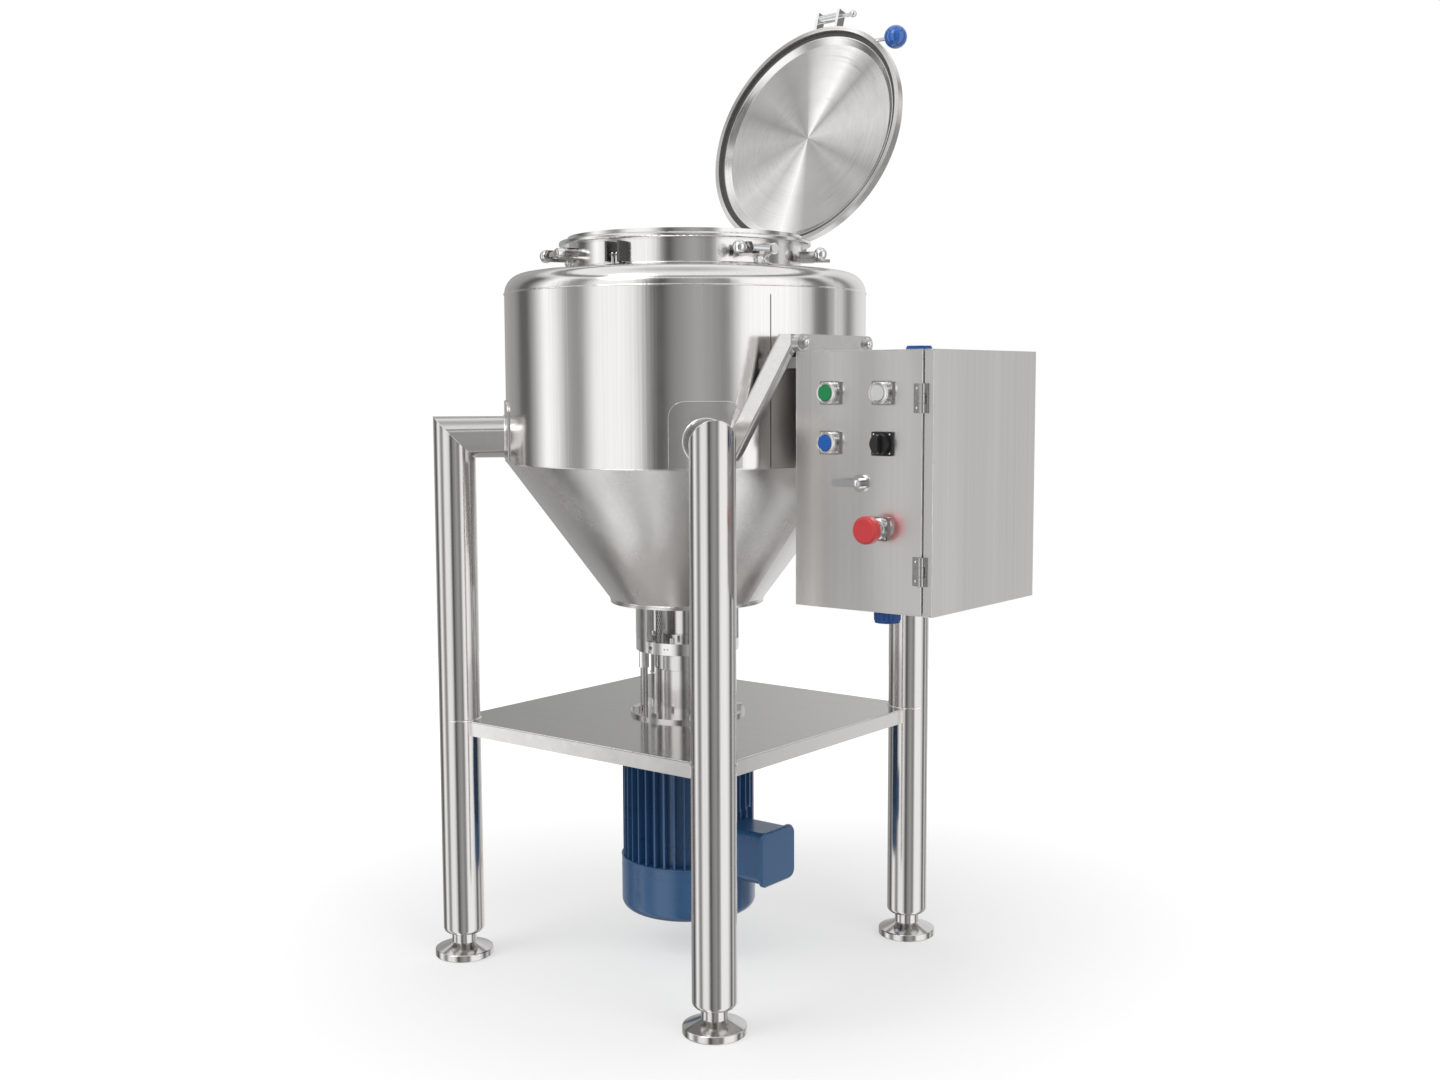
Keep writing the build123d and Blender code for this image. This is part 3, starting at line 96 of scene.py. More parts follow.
# Its soft lamp: where it is, how wide in degrees, how bright, and how far its edge fades out and in
SOFTBOX_WAY = (-0.05, -0.72, 0.69)
SOFTBOX_HALF = 9.0
SOFTBOX_LEVEL = 5.0
SOFTBOX_FADE_OUT = 0.03
SOFTBOX_FADE_IN = 0.006

# Lid, in metres: the hinge's line over the closed lid, its opening, and its turn about the vessel
LID_HINGE_Y = 0.2374
LID_HINGE_Z = 1.2185
LID_DISC_Z = 1.2437
LID_OPEN = radians(106.6)
LID_TURN = radians(-4.17)
# Highlights and shade painted into the colour of the lid's turned disc, the bright and dark wedges
# its brushing reflects: degrees round it from the hinge's line, and how bright it is painted
LID_PAINTED_SHEEN = (
    (-180, 0.54), (-160, 0.50), (-138, 0.72), (-122, 0.62), (-108, 0.85), (-97, 1.10),
    (-88, 0.72), (-80, 0.50), (-50, 0.46), (-36, 0.56), (-26, 0.44), (-14, 0.62), (8, 0.78),
    (28, 0.76), (40, 0.64), (48, 0.46), (58, 0.70), (68, 1.20), (82, 1.00), (96, 0.74),
    (104, 0.48), (122, 0.40), (142, 0.52), (158, 0.36), (168, 0.48), (180, 0.54),
)


def lid_opened(x, y, z, fixed=1.0):
    """A point of the closed lid carried to its open place; with fixed 0, a direction turned so.

    The point turns about the hinge's line by LID_OPEN, then about the vessel's axis by LID_TURN.
    """
    hinge_y, hinge_z = LID_HINGE_Y * fixed, LID_HINGE_Z * fixed
    out, rise = y - hinge_y, z - hinge_z
    y = hinge_y + out * cos(LID_OPEN) + rise * sin(LID_OPEN)
    z = hinge_z - out * sin(LID_OPEN) + rise * cos(LID_OPEN)
    return (x * cos(LID_TURN) - y * sin(LID_TURN), x * sin(LID_TURN) + y * cos(LID_TURN), z)


LID_CENTRE = lid_opened(0.0, 0.0, LID_DISC_Z)
LID_UNDER = lid_opened(0.0, 0.0, -1.0, fixed=0.0)
LID_ACROSS = lid_opened(1.0, 0.0, 0.0, fixed=0.0)
HOSE_CENTRE = (-0.0156, -0.0600, 0.0)


# Node helpers
def put(tree, kind, feeds=None, **settings):
    """Adds a node, sets its properties, and feeds its inputs with values or other outputs."""
    made = tree.nodes.new(kind)
    for name, value in settings.items():
        setattr(made, name, value)
    for socket, value in (feeds or {}).items():
        if isinstance(value, bpy.types.NodeSocket):
            tree.links.new(value, made.inputs[socket])
        else:
            made.inputs[socket].default_value = value
    return made


def use_group(tree, group, feeds):
    """A shader group placed in a material with its own values; gives its outputs."""
    return put(tree, "ShaderNodeGroup", feeds, node_tree=group).outputs


def maths(tree, operation, *values):
    """One step of arithmetic on numbers."""
    feeds = dict(enumerate(values))
    return put(tree, "ShaderNodeMath", feeds, operation=operation).outputs[0]


def vectors(tree, operation, *values):
    """One step of arithmetic on vectors, which gives a number for a length or a dot product."""
    made = put(tree, "ShaderNodeVectorMath", dict(enumerate(values)), operation=operation)
    return made.outputs["Value" if operation in ("LENGTH", "DOT_PRODUCT") else "Vector"]


def scaled(tree, vector, amount):
    """A vector times a number."""
    feeds = {0: vector, "Scale": amount}
    return put(tree, "ShaderNodeVectorMath", feeds, operation="SCALE").outputs[0]


def parts_of(tree, vector):
    """The X, Y and Z of a vector."""
    return put(tree, "ShaderNodeSeparateXYZ", {0: vector}).outputs


def spread(tree, value, low, high, new_low=0.0, new_high=1.0):
    """A value between low and high, taken to the same share of the way between two others."""
    feeds = {"Value": value, "From Min": low, "From Max": high,
             "To Min": new_low, "To Max": new_high}
    return put(tree, "ShaderNodeMapRange", feeds).outputs["Result"]


def noise(tree, place, scale, detail, rough=0.5):
    """Smooth noise from 0 to 1 that changes scale times a metre."""
    feeds = {"Vector": place, "Scale": scale, "Detail": detail, "Roughness": rough}
    return put(tree, "ShaderNodeTexNoise", feeds).outputs["Fac"]


def bumped(tree, height, depth, **normal):
    """The normal of a surface that rises by a height from 0 to 1, times the depth in metres."""
    feeds = {"Height": height, "Distance": depth, "Strength": 1.0, **normal}
    return put(tree, "ShaderNodeBump", feeds).outputs["Normal"]


def mixed(tree, share, first, second, blend="MIX"):
    """The first colour, blended with the second by a share from 0 to 1."""
    feeds = {0: share, 6: first, 7: second}
    return put(tree, "ShaderNodeMix", feeds, data_type="RGBA", blend_type=blend).outputs[2]


def tinted(tree, share, colour, dark, light):
    """Colour between a darker and a lighter tone of itself."""
    low = [channel * dark for channel in colour] + [1.0]
    high = [min(1.0, channel * light) for channel in colour] + [1.0]
    return mixed(tree, share, low, high)


def levels(tree, fraction, stops):
    """A level between stops, each given as a place from 0 to 1 and the level there."""
    ramp = put(tree, "ShaderNodeValToRGB", {0: fraction})
    elements = ramp.color_ramp.elements
    while len(elements) < len(stops):
        elements.new(0.5)
    for element, (place, level) in zip(elements, stops):
        element.position = place
        element.color = (level, level, level, 1.0)
    return ramp.outputs[0]


def levels_round(tree, fraction, stops):
    """The same for a full turn, with the stops given in degrees from -180 to 180."""
    return levels(tree, fraction, [((way + 180.0) / 360.0, level) for way, level in stops])


def angle_round(tree, across, second):
    """The angle of two parts of a direction, as a fraction of the turn from -180 to 180 degrees."""
    return spread(tree, maths(tree, "ARCTAN2", second, across), -pi, pi)


def turned_vector(tree, vector, source, target):
    """A direction taken from the object's own frame to the world's, or back."""
    settings = {"vector_type": "NORMAL", "convert_from": source, "convert_to": target}
    return put(tree, "ShaderNodeVectorTransform", {"Vector": vector}, **settings).outputs[0]


def surface_normal(tree):
    """The way the surface faces, in the world's frame."""
    return tree.nodes.new("ShaderNodeNewGeometry").outputs["Normal"]


# Shader groups: what more than one finish uses, the lid's place round its axis for its painted
# highlights, and the hose's braid with painted shade between its wires
GRAIN_DETAIL = 2.0
GRAIN_ROUGH = 0.7
SWELL_DETAIL = 1.0
WIPE_FINER = 4.0
WIPE_DETAIL = 5.0
WIPE_ROUGH = 0.6
# How squarely a face looks along the lid's axis where its painted highlights begin and are full
DISC_FROM, DISC_TO = 0.90, 0.985
# Height of the braid's wires below which their painted shade is darkest
BRAID_SHADE_BELOW = -0.4


def new_group(name, inputs, outputs):
    """An empty shader group, with its inputs and outputs given as name=kind."""
    tree = bpy.data.node_groups.new(name, "ShaderNodeTree")
    for way, sockets in (("INPUT", inputs), ("OUTPUT", outputs)):
        for socket, kind in sockets.items():
            tree.interface.new_socket(socket, in_out=way, socket_type="NodeSocket" + kind)
    given = tree.nodes.new("NodeGroupInput").outputs
    return tree, given, tree.nodes.new("NodeGroupOutput").inputs


def leaned_normal(tree, out, sideways, lines, tilt):
    """The surface's normal leaned sideways by how far the brushing's noise is from its middle."""
    lean = maths(tree, "MULTIPLY", maths(tree, "SUBTRACT", lines, 0.5), tilt)
    leaned = vectors(tree, "ADD", surface_normal(tree), scaled(tree, sideways, lean))
    tree.links.new(vectors(tree, "NORMALIZE", leaned), out["Normal"])
    tree.links.new(lines, out["Tone"])


def straight_grain_group():
    """Brushing in straight lines: noise drawn long along Run leans the normal across it."""
    inputs = dict(Vector="Vector", Run="Vector", Fine="Float", Long="Float", Tilt="Float")
    tree, given, out = new_group("straight grain", inputs, dict(Normal="Vector", Tone="Float"))
    along = scaled(tree, given["Run"], vectors(tree, "DOT_PRODUCT", given["Vector"], given["Run"]))
    across = vectors(tree, "SUBTRACT", given["Vector"], along)
    across_fine = scaled(tree, across, given["Fine"])
    at = vectors(tree, "ADD", across_fine, scaled(tree, along, given["Long"]))
    lines = noise(tree, at, 1.0, GRAIN_DETAIL, GRAIN_ROUGH)
    run = turned_vector(tree, given["Run"], "OBJECT", "WORLD")
    sideways = vectors(tree, "CROSS_PRODUCT", surface_normal(tree), run)
    leaned_normal(tree, out, vectors(tree, "NORMALIZE", sideways), lines, given["Tilt"])
    return tree


def round_grain_group():
    """Brushing in circles about an axis: noise over the radius, slow round the circle, leans the
    normal outward."""
    inputs = dict(Vector="Vector", Centre="Vector", Axis="Vector",
                  Fine="Float", Long="Float", Tilt="Float")
    tree, given, out = new_group("round grain", inputs, dict(Normal="Vector", Tone="Float"))
    arm = vectors(tree, "SUBTRACT", given["Vector"], given["Centre"])
    along = scaled(tree, given["Axis"], vectors(tree, "DOT_PRODUCT", arm, given["Axis"]))
    flat = vectors(tree, "SUBTRACT", arm, along)
    outward = vectors(tree, "NORMALIZE", flat)
    over = maths(tree, "MULTIPLY", vectors(tree, "LENGTH", flat), given["Fine"])
    steps = put(tree, "ShaderNodeCombineXYZ", {"X": over}).outputs[0]
    at = vectors(tree, "ADD", steps, scaled(tree, outward, given["Long"]))
    lines = noise(tree, at, 1.0, GRAIN_DETAIL, GRAIN_ROUGH)
    outward_world = turned_vector(tree, outward, "OBJECT", "WORLD")
    leaned_normal(tree, out, outward_world, lines, given["Tilt"])
    return tree


def uneven_group():
    """Slow rolls of the sheet, as a bump, and the finer wipe marks in its sheen."""
    inputs = dict(Vector="Vector", Size="Float", Depth="Float", Normal="Vector")
    tree, given, out = new_group("uneven sheet", inputs, dict(Normal="Vector", Wipe="Float"))
    swell = noise(tree, given["Vector"], given["Size"], SWELL_DETAIL)
    finer = maths(tree, "MULTIPLY", given["Size"], WIPE_FINER)
    wipe = noise(tree, given["Vector"], finer, WIPE_DETAIL, WIPE_ROUGH)
    tree.links.new(bumped(tree, swell, given["Depth"], Normal=given["Normal"]), out["Normal"])
    tree.links.new(wipe, out["Wipe"])
    return tree


def round_place_group():
    """How far round an axis a point is, from 0 to 1, and how squarely its face looks along it."""
    inputs = dict(Vector="Vector", Centre="Vector", Axis="Vector", Start="Vector")
    tree, given, out = new_group("place round an axis", inputs, dict(Turn="Float", Square="Float"))
    arm = vectors(tree, "SUBTRACT", given["Vector"], given["Centre"])
    second = vectors(tree, "CROSS_PRODUCT", given["Axis"], given["Start"])
    across = vectors(tree, "DOT_PRODUCT", arm, given["Start"])
    turn = angle_round(tree, across, vectors(tree, "DOT_PRODUCT", arm, second))
    facing = turned_vector(tree, surface_normal(tree), "WORLD", "OBJECT")
    square = maths(tree, "ABSOLUTE", vectors(tree, "DOT_PRODUCT", facing, given["Axis"]))
    tree.links.new(turn, out["Turn"])
    tree.links.new(spread(tree, square, DISC_FROM, DISC_TO), out["Square"])
    return tree


def braid_group():
    """Crossed wires of a braid about an upright axis: the higher of two sets of helices,
    sin(Round * angle + Pitch * z) and sin(Round * angle - Pitch * z), as a height, and as a tone
    of painted shade, darkest down in the gaps between the wires."""
    inputs = dict(Vector="Vector", Centre="Vector", Round="Float", Pitch="Float")
    tree, given, out = new_group("braid", inputs, dict(Height="Float", Tone="Float"))
    arm = parts_of(tree, vectors(tree, "SUBTRACT", given["Vector"], given["Centre"]))
    turn = maths(tree, "MULTIPLY", maths(tree, "ARCTAN2", arm["Y"], arm["X"]), given["Round"])
    rise = maths(tree, "MULTIPLY", arm["Z"], given["Pitch"])
    one = maths(tree, "SINE", maths(tree, "ADD", turn, rise))
    other = maths(tree, "SINE", maths(tree, "SUBTRACT", turn, rise))
    height = maths(tree, "MAXIMUM", one, other)
    tree.links.new(height, out["Height"])
    tree.links.new(spread(tree, height, BRAID_SHADE_BELOW, 1.0), out["Tone"])
    return tree


STRAIGHT_GRAIN = straight_grain_group()
ROUND_GRAIN = round_grain_group()
UNEVEN = uneven_group()
ROUND_PLACE = round_place_group()
BRAID = braid_group()

# Finishes: noise seldom leaves its middle, so that middle is spread over the whole change
WIPE_NOISE = (0.3, 0.7)
BAND_NOISE = (0.35, 0.65)
BAND_SCALE = 9.0
BAND_DETAIL = 1.0
BRAID_DEPTH = 0.0004
# Painted shade of the braid: its colour down in the gaps, and on the wires' crowns
BRAID_PAINTED_SHADE_TONES = (0.25, 1.1)
BRAID_ROUGH = 0.28
PAINT_GRAIN_DETAIL = 3.0
PAINT_CLOUD = 18.0
PAINT_CLOUD_DETAIL = 4.0
PAINT_TONES = (0.88, 1.10)
PAINT_SHEEN = 0.15
COAT_ROUGH = 0.08


def start_material(name):
    """A new material with its node tree, its shader, and each point's place on the object."""
    made = bpy.data.materials.new(name)
    made.use_nodes = True
    tree = made.node_tree
    place = tree.nodes.new("ShaderNodeTexCoord").outputs["Object"]
    return made, tree, tree.nodes["Principled BSDF"], place


def finish_steel(tree, shader, place, grain, colour, rough, swell, depth, stretch=1.0, shade=None,
                 lines=0.09, wipe=0.2, broad=0.0):
    """Common end of the steels: slow rolls of the sheet, wiped sheen and the grain's tones.

    swell and depth are how often the sheet rolls, per metre, and how deep, and a stretch under 1
    draws the rolls out upwards. lines, wipe and broad are how far the brushed lines change the
    tone, the wipe marks the roughness and the broad bands the tone. shade multiplies it: the lid
    gives its painted highlights and shade there, and where broad is set the broad bands take its
    place.
    """
    long_place = put(tree, "ShaderNodeMapping", {"Vector": place, "Scale": (1.0, 1.0, stretch)})
    long_place = long_place.outputs[0]
    feeds = {"Vector": long_place, "Size": swell, "Depth": depth, "Normal": grain["Normal"]}
    sheet = use_group(tree, UNEVEN, feeds)
    tone = tinted(tree, grain["Tone"], colour, 1.0 - lines, 1.0 + lines)
    if broad:
        bands = noise(tree, long_place, BAND_SCALE, BAND_DETAIL)
        shade = spread(tree, bands, *BAND_NOISE, 1.0 - broad, 1.0 + broad)
    # The lid's painted highlights and shade, and the broad bands where broad is set, multiply the
    # tone
    if shade is not None:
        tone = mixed(tree, 1.0, tone, shade, "MULTIPLY")
    sheen = spread(tree, sheet["Wipe"], *WIPE_NOISE, rough * (1.0 - wipe), rough * (1.0 + wipe))
    shader.inputs["Metallic"].default_value = 1.0
    tree.links.new(tone, shader.inputs["Base Color"])
    tree.links.new(sheen, shader.inputs["Roughness"])
    tree.links.new(sheet["Normal"], shader.inputs["Normal"])


def steel(name, colour, rough, run, fine, long, tilt, swell, depth, stretch=1.0, **look):
    """Stainless steel brushed straight along run.

    fine and long are how often the brushing changes across run and along it, per metre, and tilt
    is how far it leans the surface.
    """
    made, tree, shader, place = start_material(name)
    feeds = {"Vector": place, "Run": run, "Fine": fine, "Long": long, "Tilt": tilt}
    grain = use_group(tree, STRAIGHT_GRAIN, feeds)
    finish_steel(tree, shader, place, grain, colour, rough, swell, depth, stretch, **look)
    return made


def round_steel(name, colour, rough, centre, axis, fine, long, tilt, swell, depth, sheen=None):
    """Stainless steel brushed in circles about an axis.

    sheen, when given, paints highlights and shade into the colour of the faces that look along
    the axis: the bright and dark wedges of a flat disc's brushing, and the way they start from.
    """
    made, tree, shader, place = start_material(name)
    about = {"Vector": place, "Centre": centre, "Axis": axis}
    grain = use_group(tree, ROUND_GRAIN, {**about, "Fine": fine, "Long": long, "Tilt": tilt})
    shade = None
    # The lid's highlights and shade, painted into its colour as levels round its axis
    if sheen:
        wedges, start = sheen
        at = use_group(tree, ROUND_PLACE, {**about, "Start": start})
        shade = mixed(tree, at["Square"], WHITE, levels_round(tree, at["Turn"], wedges))
    finish_steel(tree, shader, place, grain, colour, rough, swell, depth, shade=shade)
    return made


def braided(name, colour, centre, wires, pitch):
    """Hose covered with a braid of fine stainless wire, with shade painted into its colour down in
    the gaps between the wires.
    """
    made, tree, shader, place = start_material(name)
    feeds = {"Vector": place, "Centre": centre, "Round": wires, "Pitch": pitch}
    braid = use_group(tree, BRAID, feeds)
    shader.inputs["Metallic"].default_value = 1.0
    shader.inputs["Roughness"].default_value = BRAID_ROUGH
    # Painted shade: the colour falls to a quarter down in the braid's gaps, and rises a little on
    # the wires' crowns
    tone = tinted(tree, braid["Tone"], colour, *BRAID_PAINTED_SHADE_TONES)
    tree.links.new(tone, shader.inputs["Base Color"])
    tree.links.new(bumped(tree, braid["Height"], BRAID_DEPTH), shader.inputs["Normal"])
    return made


def paint(name, colour, rough, grain, depth, coat=0.0):
    """Paint, rubber or moulded plastic: a fine grain and slight changes of tone and sheen.

    grain and depth are how often the surface grain rises, per metre, and how high.
    """
    made, tree, shader, place = start_material(name)
    fine = noise(tree, place, grain, PAINT_GRAIN_DETAIL)
    cloud = noise(tree, place, PAINT_CLOUD, PAINT_CLOUD_DETAIL)
    low, high = rough * (1.0 - PAINT_SHEEN), rough * (1.0 + PAINT_SHEEN)
    tone = tinted(tree, cloud, colour, *PAINT_TONES)
    tree.links.new(tone, shader.inputs["Base Color"])
    tree.links.new(spread(tree, cloud, *WIPE_NOISE, low, high), shader.inputs["Roughness"])
    tree.links.new(bumped(tree, fine, depth), shader.inputs["Normal"])
    shader.inputs["Coat Weight"].default_value = coat
    shader.inputs["Coat Roughness"].default_value = COAT_ROUGH
    return made


finishes = {
    "vessel": steel("vessel steel", (0.80, 0.785, 0.77), 0.15, UP, fine=420.0, long=2.0, tilt=0.04,
                    swell=5.0, depth=0.0012, stretch=0.3, lines=0.08),
    "cone": steel("cone steel", (0.76, 0.745, 0.73), 0.24, UP, fine=420.0, long=2.0, tilt=0.04,
                  swell=4.0, depth=0.0030, stretch=0.3, lines=0.08),
    "tube": steel("tube steel", (0.68, 0.665, 0.65), 0.15, UP, fine=500.0, long=2.0, tilt=0.03,
                  swell=9.0, depth=0.0002, stretch=0.3),
    "sheet": steel("shelf steel", (0.56, 0.55, 0.54), 0.12, ALONG_X, fine=500.0, long=3.0,
                   tilt=0.06, swell=4.0, depth=0.0004),
    "edge": steel("folded edge steel", (0.90, 0.89, 0.87), 0.20, UP, fine=60.0, long=60.0,
                  tilt=0.02, swell=8.0, depth=0.0003, lines=0.03, wipe=0.05),
    "box": steel("box steel", (0.84, 0.83, 0.815), 0.27, UP, fine=260.0, long=0.6, tilt=0.02,
                 swell=5.0, depth=0.0002, stretch=0.06, wipe=0.0, broad=0.06),
    "door": steel("door steel", (0.84, 0.82, 0.80), 0.26, UP, fine=260.0, long=0.6, tilt=0.02,
                  swell=5.0, depth=0.0030, stretch=0.16, lines=0.06, wipe=0.0, broad=0.16),
    "plate": steel("plate steel", (0.70, 0.69, 0.68), 0.22, ALONG_X, fine=500.0, long=10.0,
                   tilt=0.06, swell=12.0, depth=0.0003),
    "bright": steel("bright metal", (0.84, 0.84, 0.84), 0.10, UP, fine=600.0, long=30.0,
                    tilt=0.03, swell=40.0, depth=0.00005),
    "pressed": steel("pressed plate steel", (0.50, 0.49, 0.48), 0.24, UP, fine=600.0, long=30.0,
                     tilt=0.05, swell=30.0, depth=0.0001),
    "nut": steel("burnished steel", (0.20, 0.195, 0.19), 0.25, UP, fine=600.0, long=30.0,
                 tilt=0.05, swell=40.0, depth=0.0001),
    "weld": steel("polished weld", (0.86, 0.84, 0.82), 0.16, UP, fine=300.0, long=300.0,
                  tilt=0.20, swell=90.0, depth=0.0003),
    # The lid's turned disc has bright and dark wedges of highlight painted into its colour
    "lid": round_steel("lid steel", (0.88, 0.865, 0.85), 0.20, LID_CENTRE, LID_UNDER, fine=900.0,
                       long=3.0, tilt=0.35, swell=5.0, depth=0.0002, sheen=(LID_PAINTED_SHEEN, LID_ACROSS)),
    "flange": round_steel("turned steel", (0.80, 0.79, 0.78), 0.16, UP, UP, fine=700.0,
                          long=4.0, tilt=0.10, swell=9.0, depth=0.0001),
    "hose": braided("braided hose", (0.62, 0.61, 0.60), HOSE_CENTRE, wires=10.0, pitch=520.0),
    "motor": paint("motor enamel", (0.040, 0.132, 0.300), 0.30, grain=900.0, depth=0.00008,
                   coat=0.45),
    "knob blue": paint("blue knob", (0.010, 0.125, 0.52), 0.12, grain=400.0, depth=0.000004,
                       coat=1.0),
    "plug": paint("plug plastic", (0.006, 0.085, 0.34), 0.35, grain=900.0, depth=0.00004),
    "green": paint("green cap", (0.002, 0.27, 0.08), 0.28, grain=700.0, depth=0.00001, coat=0.3),
    "blue": paint("blue cap", (0.006, 0.125, 0.52), 0.28, grain=700.0, depth=0.00001, coat=0.3),
    "white": paint("white cap", (0.72, 0.72, 0.71), 0.28, grain=700.0, depth=0.00002, coat=0.1),
    "red": paint("red mushroom", (0.66, 0.045, 0.052), 0.34, grain=700.0, depth=0.00001,
                 coat=0.25),
    "black": paint("black plastic", (0.014, 0.014, 0.015), 0.42, grain=1200.0, depth=0.00006),
    # The lid's gasket fills its groove: its dark rubber colour is partly painted shade of that
    # groove
    "gasket": paint("gasket rubber and groove shade", (0.075, 0.073, 0.070), 0.55, grain=1500.0, depth=0.0001),
}

# Which nodes wear which finish
wears = {
    "vessel": ("vessel_shell", "vessel_top_head", "manway_collar"),
    "cone": ("vessel_cone",),
    "tube": ("legs", "leg_arms", "bearing_housing", "seal_housing", "feet"),
    "sheet": ("shelf_top",),
    "edge": ("shelf_edges",),
    "box": ("control_box",),
    "door": ("control_door",),
    "plate": ("leg_pads", "cone_bottom_plate", "box_hanger", "support_rail", "support_struts",
              "box_spacer", "lid_arms", "lid_bracket", "clamp_lugs", "lantern_pillars"),
    "nut": ("lid_catch",),
    "flange": ("manway_rim", "pedestal_flange", "lantern_ring"),
    "lid": ("lid",),
    "bright": ("pedestal_bolts", "pipe_couplings", "latch_rose", "latch_lever", "lid_clasp",
               "lid_knob_stem", "swing_bolt_1", "swing_bolt_2", "swing_bolt_3", "swing_bolt_4",
               "swing_bolt_5"),
    "pressed": ("flush_pipes", "box_hinge_leaves", "door_hinge_leaves", "button_housings"),
    "motor": ("motor_flange", "motor_body", "motor_fan_cowl", "terminal_box", "terminal_box_lid"),
    "knob blue": ("lid_knob",),
    "green": ("button_green",),
    "blue": ("button_blue",),
    "plug": ("box_plugs",),
    "white": ("button_white",),
    "red": ("emergency_button",),
    "black": ("selector_plate", "selector_knob"),
    # The lid's gasket: dark rubber, its colour partly painted shade of the lid's groove
    "gasket": ("lid_gasket", "door_seal"),
}
for finish, nodes in wears.items():
    for node in nodes:
        NODES[node].data.materials.clear()
        NODES[node].data.materials.append(finishes[finish])


# Surfaces, in millimetres, as (points, quads, triangles)
def grid_faces(index, flip):
    """Quads between each row of a grid and the next, closed round each row."""
    here, there = index[:-1], index[1:]
    corners = (here, np.roll(here, -1, axis=1), np.roll(there, -1, axis=1), there)
    quads = np.stack(corners[::-1] if flip else corners, axis=-1)
    return quads.reshape(-1, 4)


def turned(profile, place, axis, sides=24, flutes=0, flute_depth=0.0):
    """Surface of revolution: (radius, height) pairs, bottom to top, turned about an axis.

    Point = place + axis * height
            + radius * (1 + flute_depth * cos(flutes * angle)) * outward direction.
    Each end is closed by a fan to a point on the axis.
    """
    axis = np.array(axis, float) / np.linalg.norm(axis)
    first = np.cross(axis, UP if abs(axis[2]) < 0.9 else ALONG_X)
    first /= np.linalg.norm(first)
    second = np.cross(axis, first)
    angle = np.linspace(0.0, 2.0 * pi, sides, endpoint=False)
    outward = np.cos(angle)[:, None] * first + np.sin(angle)[:, None] * second
    radius, height = np.array(profile, float).T
    reach = (radius[:, None] * (1.0 + flute_depth * np.cos(flutes * angle)))[:, :, None]
    rows = np.array(place) + height[:, None, None] * axis + reach * outward
    ends = np.array(place) + height[[0, -1], None] * axis
    count = rows.size // 3
    index = np.arange(count).reshape(rows.shape[:2])
    low, high = index[0], index[-1]
    fan_low = np.stack((np.full(sides, count), np.roll(low, -1), low), axis=-1)
    fan_high = np.stack((np.full(sides, count + 1), high, np.roll(high, -1)), axis=-1)
    points = np.concatenate((rows.reshape(-1, 3), ends))
    return points, grid_faces(index, False), np.concatenate((fan_low, fan_high))


def carried(path, radius, side_of, closed=False, sides=10):
    """Round section carried along a path: at each of its points a circle square to the path.

    Point = path + radius * (cos(angle) * across + sin(angle) * over), where across is square to
    the path and to side_of, a direction that isn't along the path, given once or for each point.
    An open path is closed by a fan at each end.
    """
    path = np.array(path, float)
    if closed:
        along = np.roll(path, -1, axis=0) - np.roll(path, 1, axis=0)
    else:
        along = np.gradient(path, axis=0)
    along /= np.linalg.norm(along, axis=1)[:, None]
    across = np.cross(along, np.broadcast_to(np.array(side_of, float), path.shape))
    across /= np.linalg.norm(across, axis=1)[:, None]
    over = np.cross(across, along)
    angle = np.linspace(0.0, 2.0 * pi, sides, endpoint=False)[:, None]
    spokes = np.cos(angle) * across[:, None, :] + np.sin(angle) * over[:, None, :]
    rows = path[:, None, :] + radius * spokes
    points = rows.reshape(-1, 3)
    count = len(points)
    index = np.arange(count).reshape(rows.shape[:2])
    if closed:
        faces = grid_faces(np.concatenate((index, index[:1])), True)
        return points, faces, np.empty((0, 3), int)
    low, high = index[0], index[-1]
    fan_low = np.stack((np.full(sides, count), low, np.roll(low, -1)), axis=-1)
    fan_high = np.stack((np.full(sides, count + 1), np.roll(high, -1), high), axis=-1)
    points = np.concatenate((points, path[[0, -1]]))
    return points, grid_faces(index, True), np.concatenate((fan_low, fan_high))


def about_z(surface, degrees):
    """The same surface turned about the vessel's axis: (x cos - y sin, x sin + y cos, z)."""
    turn = radians(degrees)
    across = (cos(turn), sin(turn), 0.0), (-sin(turn), cos(turn), 0.0), (0.0, 0.0, 1.0)
    return surface[0] @ np.array(across), surface[1], surface[2]


def ring(radius, z, thick, sides=180):
    """Round bead about the vessel's axis: path = (radius cos, radius sin, z)."""
    angle = np.linspace(0.0, 2.0 * pi, sides, endpoint=False)
    path = np.stack((radius * np.cos(angle), radius * np.sin(angle), np.full(sides, z)), axis=-1)
    return carried(path, thick, UP, closed=True)


def straight(start, end, thick, side_of):
    """Round bar from one point to another: path = start + (end - start) * share."""
    return carried(np.linspace(start, end, 5), thick, side_of)


def piece(name, surfaces, finish, body, smooth_below=35.0):
    """One object of several surfaces, riding on a body, smooth below an angle in degrees."""
    points, faces, start = [], [], 0
    for corner, quads, triangles in surfaces:
        points.append(corner)
        faces += (quads + start).tolist() + (triangles + start).tolist()
        start += len(corner)
    mesh = bpy.data.meshes.new(name)
    mesh.from_pydata((np.concatenate(points) / 1000.0).tolist(), [], faces)
    mesh.materials.append(finishes[finish])
    mesh.shade_smooth()
    mesh.set_sharp_from_angle(angle=radians(smooth_below))
    made = bpy.data.objects.new(name, mesh)
    bpy.context.collection.objects.link(made)
    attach(made, body)


